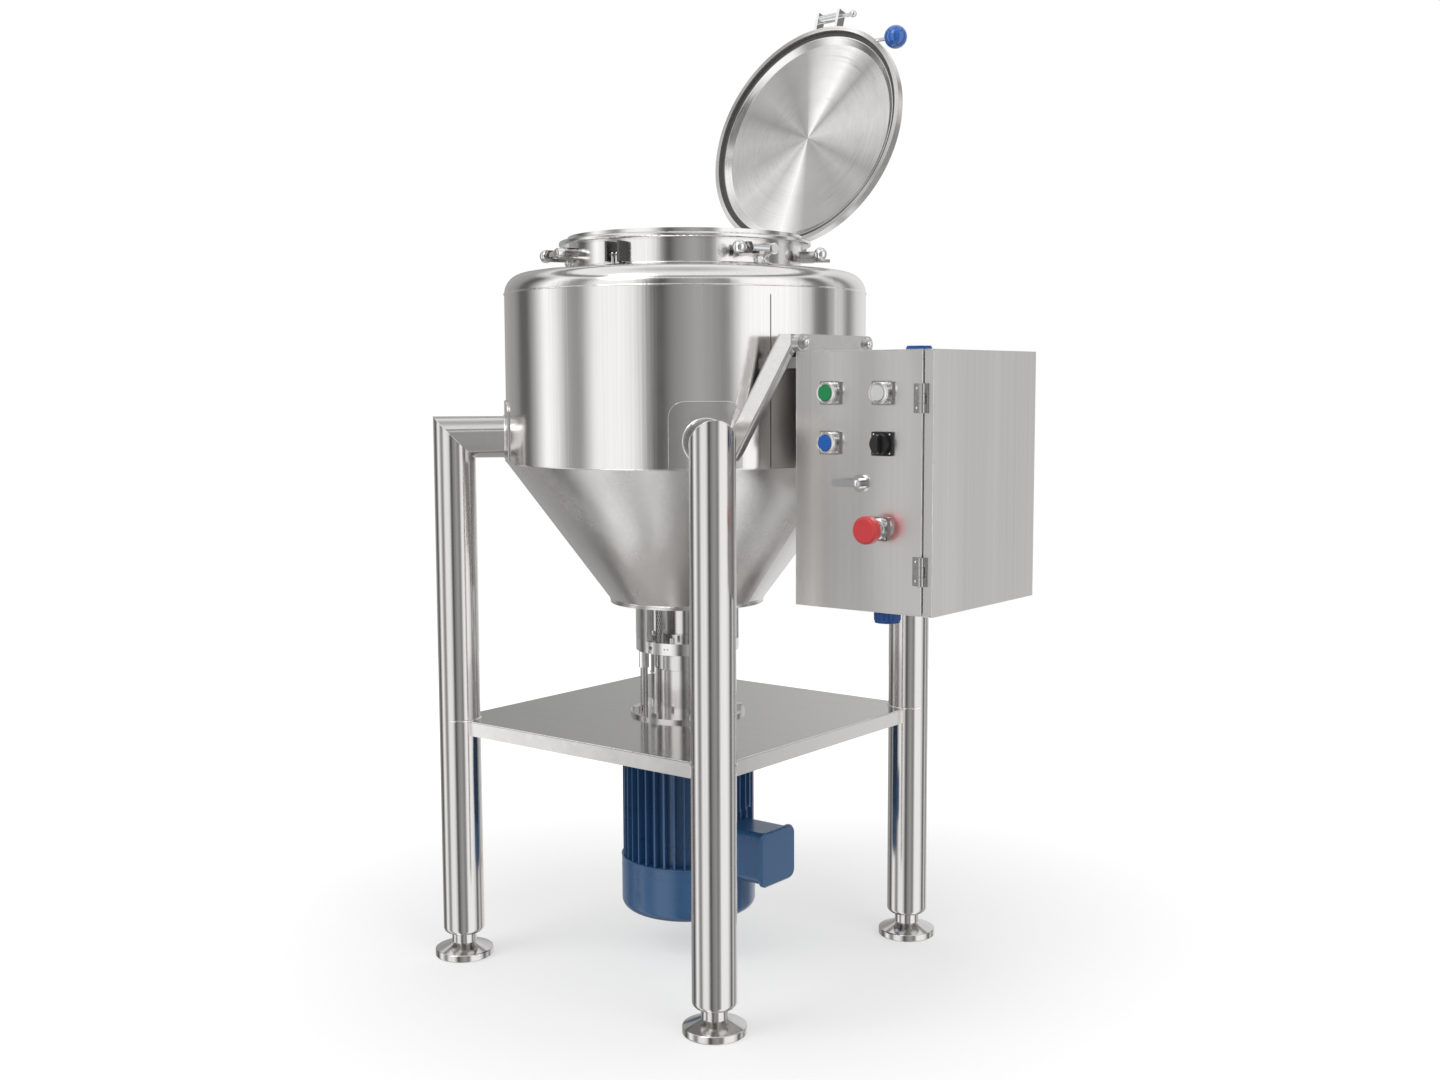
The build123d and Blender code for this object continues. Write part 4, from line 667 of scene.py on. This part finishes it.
# Sizes of the vessel and the frame that the welds follow, in millimetres
SHELL_R = 307.0
SHELL_TOP_Z = 1140.0
SHELL_BOTTOM_Z = 857.5
COLLAR_R = 197.0
COLLAR_SEAT_Z = 1180.8
CONE_BOTTOM_R = 132.6
CONE_BOTTOM_Z = 620.5
LEG_AZIMUTHS = (45, 135, 225, 315)
LEG_REACH = 394.57
LEG_R = 35.0
ARM_Z = 901.0
PAD_FACE_R = 310.0
PAD_HALF = 57.0
PAD_LOW_Z = 860.0
PAD_HIGH_Z = 962.0
PAD_CORNER = 25.0
SHELF_Z = 418.0

# Welds: radius of each bead, and how far its middle stands off what it runs along
BEAD_R = 1.3
LINE_R = 0.8
COLLAR_BEAD_R = 1.9
SADDLE_R = 1.8
SADDLE_OFF = 0.4
MITRE_R = 0.5
SHELF_BEAD_R = 1.6
SHELF_BEAD_OFF = 0.3
SHELF_BEAD_RISE = 0.4
SHELF_BEAD_FROM, SHELF_BEAD_TO = radians(66), radians(294)
PAD_LINE_IN = 0.005
ROUND_BEADS = (
    (SHELL_R + 0.2, SHELL_TOP_Z, BEAD_R, 180),
    (SHELL_R - 0.2, SHELL_BOTTOM_Z, LINE_R, 180),
    (COLLAR_R + 0.4, COLLAR_SEAT_Z + 0.6, COLLAR_BEAD_R, 180),
    (CONE_BOTTOM_R - 0.2, CONE_BOTTOM_Z - 0.4, BEAD_R, 120),
)
SEAM_AZIMUTH = -25.3
SEAM_LOW_Z, SEAM_HIGH_Z = SHELL_BOTTOM_Z + 2.0, SHELL_TOP_Z - 14.0
SEAM_OFF = 0.1


def pad_outline():
    """Fine line round a pad: across and height follow its sides, its foot and two rounded top
    corners, and out = sqrt(PAD_FACE_R^2 - across^2), drawn in a little so that it is half sunk."""
    turn = np.linspace(0.0, pi / 2, 7)
    flat = PAD_HALF - PAD_CORNER
    rounded_z = PAD_HIGH_Z - PAD_CORNER + PAD_CORNER * np.sin(turn)
    right = np.stack((flat + PAD_CORNER * np.cos(turn), rounded_z), -1)
    left = right[::-1] * (-1.0, 1.0)
    top = np.stack((np.linspace(flat, -flat, 9)[1:-1], np.full(7, PAD_HIGH_Z)), -1)
    foot = np.stack((np.linspace(-PAD_HALF, PAD_HALF, 17), np.full(17, PAD_LOW_Z)), -1)
    across, z = np.concatenate((right, top, left, foot)).T
    out = np.sqrt(PAD_FACE_R ** 2 - across ** 2)
    level = np.stack((out, across, z * 0), -1)
    path = np.stack((out, across, z), -1) - level * PAD_LINE_IN
    return carried(path, LINE_R, level / PAD_FACE_R, closed=True)


def arm_welds():
    """Bead where a leg's arm meets its pad, out = sqrt(PAD_FACE_R^2 - across^2), and the fine
    line of its mitred elbow, out = LEG_REACH + LEG_R * cos(turn)."""
    turn = np.linspace(0.0, 2.0 * pi, 60, endpoint=False)
    across = LEG_R * np.sin(turn)
    z = ARM_Z + LEG_R * np.cos(turn)
    saddle = np.stack((np.sqrt(PAD_FACE_R ** 2 - across ** 2) + SADDLE_OFF, across, z), -1)
    mitre = np.stack((LEG_REACH + LEG_R * np.cos(turn), across, z), -1)
    return (carried(saddle, SADDLE_R, ALONG_X, closed=True),
            carried(mitre, MITRE_R, (1, 0, -1), closed=True))


def shelf_weld():
    """Bead round the part of a leg that the shelf's sheet meets, an arc about the leg's axis."""
    turn = np.linspace(SHELF_BEAD_FROM, SHELF_BEAD_TO, 50)
    radius = LEG_R + SHELF_BEAD_OFF
    z = np.full(50, SHELF_Z + SHELF_BEAD_RISE)
    path = np.stack((LEG_REACH + radius * np.cos(turn), radius * np.sin(turn), z), -1)
    return carried(path, SHELF_BEAD_R, UP)


welds = [ring(*bead) for bead in ROUND_BEADS]
for azimuth in LEG_AZIMUTHS:
    welds += [about_z(made, azimuth) for made in (pad_outline(), *arm_welds(), shelf_weld())]
piece("welds", welds, "weld", "tank")
SEAM_ENDS = ((SHELL_R + SEAM_OFF, 0.0, SEAM_LOW_Z), (SHELL_R + SEAM_OFF, 0.0, SEAM_HIGH_Z))
seam = carried(np.linspace(*SEAM_ENDS, 30), LINE_R, ALONG_X)
piece("shell_seam", [about_z(seam, SEAM_AZIMUTH)], "nut", "tank")

# Control box: folded edges of the box and of its door
BOX_LEFT, BOX_RIGHT = 346.0, 586.0
BOX_FRONT, BOX_BACK = -160.0, 148.0
BOX_LOW, BOX_HIGH = 654.0, 1037.0
EDGE_R = 1.4
EDGE_IN = 1.1
BESIDE_DOOR_X = 571.2
DOOR_RIGHT = 567.0
DOOR_EDGE_R = 1.15
DOOR_EDGE_IN = 0.9
DOOR_EDGE_Y = BOX_FRONT + 1.0
ALONG_NO_EDGE = (0.3, 0.5, 0.8)

left, right = BOX_LEFT + EDGE_IN, BOX_RIGHT - EDGE_R
front, back = BOX_FRONT + EDGE_IN, BOX_BACK - EDGE_IN
low, high = BOX_LOW + EDGE_IN, BOX_HIGH - EDGE_IN
edge_ends = [((x, y, low), (x, y, high)) for x, y in ((right, front), (right, back), (left, back))]
for z in (low, high):
    edge_ends.append(((right, front, z), (right, back, z)))
    edge_ends.append(((left, back, z), (right, back, z)))
    edge_ends.append(((BESIDE_DOOR_X, front, z), (right, front, z)))
box_edges = [straight(*ends, EDGE_R, ALONG_NO_EDGE) for ends in edge_ends]
piece("box_edges", box_edges, "weld", "tank")

left, right = BOX_LEFT + DOOR_EDGE_IN, DOOR_RIGHT - DOOR_EDGE_IN
low, high = BOX_LOW + DOOR_EDGE_IN, BOX_HIGH - DOOR_EDGE_IN
corners = [(x, DOOR_EDGE_Y, z) for x, z in ((left, low), (right, low), (right, high), (left, high))]
door_edges = [straight(here, there, DOOR_EDGE_R, ALONG_NO_EDGE)
              for here, there in zip(corners, corners[1:] + corners[:1])]
piece("door_edges", door_edges, "weld", "door")

# Door: screws of the five plates and the two hinges, the latch's domed cap, and knurled bezels
PLATE_FACE_Y = -164.5
BUTTONS = ((410.0, 975.0), (501.0, 975.0), (410.0, 901.5))
SELECTOR = (501.0, 901.5)
STOP = (494.0, 777.5)
PLATE_SCREW_STEP = 13.6
PLATE_SCREW = ((1.612, 0.0), (1.55, 0.3), (1.24, 0.65), (0.682, 0.85), (0.186, 0.9))
HINGE_SCREW = ((1.95, 0.0), (1.875, 0.42), (1.5, 0.91), (0.825, 1.19), (0.225, 1.26))
HINGE_SCREW_X = 558.2
HINGE_FACE_Y = -162.0
HINGE_SCREW_Z = (705.0, 733.0, 953.5, 981.5)
BOLT_DOME = ((5.6, 0.0), (5.5, 1.2), (4.6, 2.9), (2.8, 4.0), (0.6, 4.4))
LATCH_CAP = (463.0, -173.0, 843.0)
BEZEL = (
    (14.2, 0.0), (15.5, 0.6), (15.5, 8.2), (14.9, 9.0), (15.2, 9.6), (15.4, 11.4), (14.6, 12.5),
    (12.6, 12.7), (11.7, 12.0), (11.65, 9.0),
)
STOP_BEZEL = (
    (15.6, 0.0), (15.6, 3.0), (14.7, 3.6), (14.7, 13.0), (15.0, 14.0), (14.0, 16.8), (9.0, 17.0),
)
BEZEL_SIDES = 96
KNURLS = 48
KNURL_DEPTH = 0.012

plate_screws = []
for x, z in (*BUTTONS, SELECTOR, STOP):
    for step_x in (-PLATE_SCREW_STEP, PLATE_SCREW_STEP):
        for step_z in (-PLATE_SCREW_STEP, PLATE_SCREW_STEP):
            place = (x + step_x, PLATE_FACE_Y, z + step_z)
            plate_screws.append(turned(PLATE_SCREW, place, TO_FRONT, sides=12))
for z in HINGE_SCREW_Z:
    place = (HINGE_SCREW_X, HINGE_FACE_Y, z)
    plate_screws.append(turned(HINGE_SCREW, place, TO_FRONT, sides=12))
piece("plate_screws", plate_screws, "bright", "door")
piece("latch_cap", [turned(BOLT_DOME, LATCH_CAP, TO_FRONT, sides=20)], "bright", "door_latch")

bezels = []
for (x, z), profile in zip((*BUTTONS, STOP), (BEZEL, BEZEL, BEZEL, STOP_BEZEL)):
    place = (x, PLATE_FACE_Y, z)
    made = turned(profile, place, TO_FRONT, BEZEL_SIDES, KNURLS, KNURL_DEPTH)
    # The front fan is left off, because the button's cap stands there
    bezels.append((made[0], made[1], made[2][:BEZEL_SIDES]))
piece("bezels", bezels, "bright", "door")

# Hanger: domed bolts on washers
HANGER_FACE_X = 363.0
WASHER_X = 357.0
WASHER = ((10.5, 0.0), (10.5, 1.6), (8.1, 1.8))
HANGER_BOLT_Y = (-154.5, 17.0)
HANGER_BOLT_Z = 1050.0
hanger_bolts = [turned(BOLT_DOME, (HANGER_FACE_X, y, HANGER_BOLT_Z), ALONG_X, sides=28)
                for y in HANGER_BOLT_Y]
hanger_bolts += [turned(WASHER, (WASHER_X, y, HANGER_BOLT_Z), ALONG_X, sides=32)
                 for y in HANGER_BOLT_Y]
piece("hanger_bolts", hanger_bolts, "bright", "tank")

# Blue plugs above and under the box: place, radius, foot and height of their ribs
PLUGS = ((518.0, -90.0, 18.2, 1037.4, 4.6), (485.0, -120.0, 19.0, 637.0, 13.0))
PLUG_IN, PLUG_OUT, PLUG_BEVEL = 2.0, 0.6, 0.8
RIBS = 24
RIB_DEPTH = 0.022
plug_ribs = []
for x, y, radius, foot, tall in PLUGS:
    profile = ((radius - PLUG_IN, 0.0), (radius + PLUG_OUT, PLUG_BEVEL),
               (radius + PLUG_OUT, tall - PLUG_BEVEL), (radius - PLUG_IN, tall))
    plug_ribs.append(turned(profile, (x, y, foot), UP, 96, RIBS, RIB_DEPTH))
piece("plug_ribs", plug_ribs, "plug", "tank")

# Clamps round the manway: a burnished nut on each rod, a short chain under the two front ones
BOLT_AZIMUTHS = (-115.7, -12.9, 38.6, 141.4, 192.8)
BOLT_PIVOT_R = 226.0
BOLT_PIVOT_Z = 1203.0
NUT_AT = 44.5
NUT = ((8.6, 0.0), (10.2, 1.2), (10.2, 9.0), (8.6, 10.2), (7.0, 10.2))
NUT_SMOOTH_BELOW = 20.0
CROWN_SLOPE = sin(radians(5))
LINK_HALF = 3.3
LINK_WIDE = 2.1
LINK_WIRE = 0.8
LINK_STEP = 4.7
CHAIN_R = 206.0
HANGING_CHAINS = ((CHAIN_R, 3), (214.5, 2))
HANGING_FOOT = 3.9
LYING_LINKS = 6
LYING_Y = -3.0
LYING_RISE = 1.6
LYING_TILT = (0, 0.8, 0.25)


def crown_z(radius):
    """Height of the top head: COLLAR_SEAT_Z less CROWN_SLOPE times the way past COLLAR_R."""
    return COLLAR_SEAT_Z - (radius - COLLAR_R) * CROWN_SLOPE


def chain(points, first_side, second_side):
    """Links along points, every other one turned to its second side.

    Path of a link = its point + LINK_HALF * cos(turn) * along + LINK_WIDE * sin(turn) * side.
    """
    points = np.array(points, float)
    turn = np.linspace(0.0, 2.0 * pi, 16, endpoint=False)[:, None]
    made = []
    for number, (centre, along) in enumerate(zip(points, np.gradient(points, axis=0))):
        along = along / np.linalg.norm(along)
        side = np.array((first_side, second_side)[number % 2], float)
        path = centre + along * LINK_HALF * np.cos(turn) + side * LINK_WIDE * np.sin(turn)
        made.append(carried(path, LINK_WIRE, np.cross(along, side), closed=True, sides=6))
    return made


nut = turned(NUT, (BOLT_PIVOT_R, -NUT_AT, BOLT_PIVOT_Z), TO_FRONT, sides=6)
for number, azimuth in enumerate(BOLT_AZIMUTHS, 1):
    turned_nut = [about_z(nut, azimuth)]
    piece(f"bolt_nut_{number}", turned_nut, "nut", f"bolt_{number}", NUT_SMOOTH_BELOW)
links = []
for radius, count in HANGING_CHAINS:
    foot_z = crown_z(radius) + HANGING_FOOT
    drop = [(radius, 0.0, foot_z + LINK_STEP * step) for step in range(count, -1, -1)]
    links += chain(drop, ALONG_Y, ALONG_X)
lying = []
for step in range(1, LYING_LINKS + 1):
    radius = CHAIN_R + LINK_STEP * step
    lying.append((radius, LYING_Y - step, crown_z(radius) + LYING_RISE))
links += chain(lying, ALONG_Y, LYING_TILT)
chains = [about_z(link, azimuth) for azimuth in BOLT_AZIMUTHS[:2] for link in links]
piece("clamp_chains", chains, "bright", "tank")

# Catch of the lid's clasp: two round-headed pins
CATCH_AZIMUTH = -83.0
CATCH_PIN = ((3.0, 0.0), (3.0, 16.0), (2.4, 17.6), (1.2, 18.4))
CATCH_PIN_R = 209.0
CATCH_PIN_Z = 1180.5
CATCH_PIN_Y = (-4.2, 4.2)
pins = [turned(CATCH_PIN, (CATCH_PIN_R, y, CATCH_PIN_Z), UP, sides=20) for y in CATCH_PIN_Y]
piece("catch_pins", [about_z(pin, CATCH_AZIMUTH) for pin in pins], "bright", "tank")

# Shelf: the bright line where its top is folded down
SHELF_HALF = 290.0
SHELF_CORNER = 45.0
FOLD_R = 0.9
FOLD_X = SHELF_HALF - 0.5
FOLD_Y = SHELF_HALF - SHELF_CORNER
FOLD_Z = SHELF_Z - 0.6
fold = straight((FOLD_X, -FOLD_Y, FOLD_Z), (FOLD_X, FOLD_Y, FOLD_Z), FOLD_R, ALONG_X)
folds = [about_z(fold, azimuth) for azimuth in (0, 90, 180, 270)]
piece("shelf_edge_lines", folds, "weld", "tank")

# Seal stack: screw sockets and small pins in the ring's edge, and a braided hose in its window
RING_FACE_R = 89.35
RING_MIDDLE_Z = 541.0
SOCKET = ((3.4, 0.0), (3.4, 0.25), (2.9, 0.35))
SOCKET_AZIMUTHS = (-185.5, -95.5, -5.5, 84.5)
PIN = ((1.2, 0.0), (1.2, 0.25), (0.9, 0.3))
PIN_AZIMUTHS = (-76.5, -73.0, 103.5, 107.0)
HOSE_R = 5.2
HOSE_LOW_Z, HOSE_HIGH_Z = 551.5, 614.0
HOSE_SWAY = 1.2
ring_place = (RING_FACE_R, 0.0, RING_MIDDLE_Z)
socket = turned(SOCKET, ring_place, ALONG_X, sides=20)
pin = turned(PIN, ring_place, ALONG_X, sides=12)
sockets = [about_z(socket, azimuth) for azimuth in SOCKET_AZIMUTHS]
sockets += [about_z(pin, azimuth) for azimuth in PIN_AZIMUTHS]
piece("ring_sockets", sockets, "nut", "tank")
hose_z = np.linspace(HOSE_LOW_Z, HOSE_HIGH_Z, 24)
sway = HOSE_SWAY * np.sin((hose_z - HOSE_LOW_Z) / (HOSE_HIGH_Z - HOSE_LOW_Z) * pi)
hose_x, hose_y = 1000.0 * HOSE_CENTRE[0] + sway, np.full(24, 1000.0 * HOSE_CENTRE[1])
hose_path = np.stack((hose_x, hose_y, hose_z), -1)
piece("seal_hose", [carried(hose_path, HOSE_R, ALONG_X, sides=24)], "hose", "tank")

# Motor: the cowl's rolled lip, and the fine bead under it
COWL_R = 117.5
COWL_TOP_Z = 168.0
LIP_R = 1.5
LIP_IN = 0.7
LIP_DOWN = 1.4
COWL_BEAD_R = 0.7
COWL_BEAD_IN = 0.4
COWL_BEAD_Z = 148.0
lip = ring(COWL_R - LIP_IN, COWL_TOP_Z - LIP_DOWN, LIP_R, 120)
bead = ring(COWL_R - COWL_BEAD_IN, COWL_BEAD_Z, COWL_BEAD_R, 120)
piece("cowl_lip", [lip, bead], "motor", "tank")


def studio_world():
    """White to the camera, a soft level for plain light, and for reflections a studio whose walls
    and ceiling are bright and dark by direction, with one soft lamp."""
    world = bpy.data.worlds.new("studio")
    bpy.context.scene.world = world
    world.use_nodes = True
    tree = world.node_tree
    tree.nodes.clear()
    way = put(tree, "ShaderNodeTexCoord").outputs["Generated"]
    height = parts_of(tree, way)["Z"]
    feeds = {"Vector": way, "Angle": -atan2(CAMERA_PLACE[1], CAMERA_PLACE[0])}
    swung = put(tree, "ShaderNodeVectorRotate", feeds, rotation_type="Z_AXIS").outputs[0]
    from_camera = parts_of(tree, swung)
    turn = angle_round(tree, from_camera["X"], from_camera["Y"])
    walls = levels_round(tree, turn, STUDIO_WALLS)
    ceiling = levels(tree, height, STUDIO_CEILING)
    room = mixed(tree, spread(tree, height, *WALL_TOP), walls, ceiling)
    below = (STUDIO_BELOW, STUDIO_BELOW, STUDIO_BELOW, 1)
    room = mixed(tree, spread(tree, height, *WALL_FOOT), room, below)
    nearness = vectors(tree, "DOT_PRODUCT", way, tuple(Vector(SOFTBOX_WAY).normalized()))
    edge = cos(radians(SOFTBOX_HALF))
    fade = (edge - SOFTBOX_FADE_OUT, edge + SOFTBOX_FADE_IN)
    glow = spread(tree, nearness, *fade, 1.0, SOFTBOX_LEVEL)
    reflected, soft, white = (
        put(tree, "ShaderNodeBackground", {"Color": colour, "Strength": strength}).outputs[0]
        for colour, strength in ((room, glow), (WHITE, WORLD_LEVEL), (WHITE, 1.0))
    )
    path = tree.nodes.new("ShaderNodeLightPath").outputs
    feeds = {0: path["Is Glossy Ray"], 1: soft, 2: reflected}
    others = put(tree, "ShaderNodeMixShader", feeds).outputs[0]
    whole = put(tree, "ShaderNodeMixShader", {0: path["Is Camera Ray"], 1: others, 2: white})
    put(tree, "ShaderNodeOutputWorld", {"Surface": whole.outputs[0]})


def studio_floor():
    """Pale floor just under the feet, which keeps the shadow and fades to white for the camera;
    its glow is weaker near the middle, which paints a soft shade round the object's foot.
    """
    mesh = bpy.data.meshes.new("floor")
    corners = [(x * FLOOR_HALF, y * FLOOR_HALF, -FLOOR_DROP)
               for x, y in ((-1, -1), (1, -1), (1, 1), (-1, 1))]
    mesh.from_pydata(corners, [], [(0, 1, 2, 3)])
    floor = bpy.data.objects.new("floor", mesh)
    bpy.context.collection.objects.link(floor)
    made = bpy.data.materials.new("floor")
    made.use_nodes = True
    tree = made.node_tree
    tree.nodes.clear()
    cover = put(tree, "ShaderNodeBsdfDiffuse", {"Color": FLOOR_COLOUR}).outputs[0]
    place = tree.nodes.new("ShaderNodeTexCoord").outputs["Object"]
    distance = vectors(tree, "LENGTH", place)
    # A weaker glow near the middle paints a soft shade round the object's foot
    strength = spread(tree, distance, FLOOR_NEAR, FLOOR_FAR, FLOOR_GLOW_IN_PAINTED_SHADE, FLOOR_GLOW_FAR)
    glow = put(tree, "ShaderNodeEmission", {"Color": WHITE, "Strength": strength}).outputs[0]
    lit = put(tree, "ShaderNodeAddShader", {0: cover, 1: glow}).outputs[0]
    to_camera = tree.nodes.new("ShaderNodeLightPath").outputs["Is Camera Ray"]
    whole = put(tree, "ShaderNodeMixShader", {0: to_camera, 1: cover, 2: lit})
    put(tree, "ShaderNodeOutputMaterial", {"Surface": whole.outputs[0]})
    mesh.materials.append(made)
    floor.visible_glossy = False
    floor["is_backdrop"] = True


def lamp(name, place, side, power):
    """Square soft lamp aimed at the object's middle, not seen in reflections."""
    data = bpy.data.lights.new(name, "AREA")
    data.shape = "RECTANGLE"
    data.size = data.size_y = side
    data.energy = power
    made = bpy.data.objects.new(name, data)
    made.location = place
    way = Vector(LAMP_AIM) - Vector(place)
    made.rotation_euler = way.to_track_quat("-Z", "Y").to_euler()
    made.visible_glossy = False
    bpy.context.collection.objects.link(made)


def make_camera():
    """Camera at the photograph's place, looking along its heading, down a little and rolled."""
    heading, down, roll = radians(CAMERA_HEADING), radians(CAMERA_DOWN), radians(CAMERA_ROLL)
    forward = Vector((-sin(heading) * cos(down), cos(heading) * cos(down), -sin(down)))
    level_right = Vector((cos(heading), sin(heading), 0.0))
    level_up = level_right.cross(forward)
    right = cos(roll) * level_right + sin(roll) * level_up
    up = -sin(roll) * level_right + cos(roll) * level_up
    data = bpy.data.cameras.new("camera")
    data.lens = CAMERA_LENS
    data.sensor_width = SENSOR_WIDTH
    camera = bpy.data.objects.new("camera", data)
    turn = Matrix((right, up, -forward)).transposed().to_4x4()
    camera.matrix_world = Matrix.Translation(CAMERA_PLACE) @ turn
    bpy.context.collection.objects.link(camera)
    bpy.context.scene.camera = camera


studio_world()
studio_floor()
for settings in LAMPS:
    lamp(*settings)
make_camera()
bpy.context.scene.view_settings.view_transform = "Standard"

low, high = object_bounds()
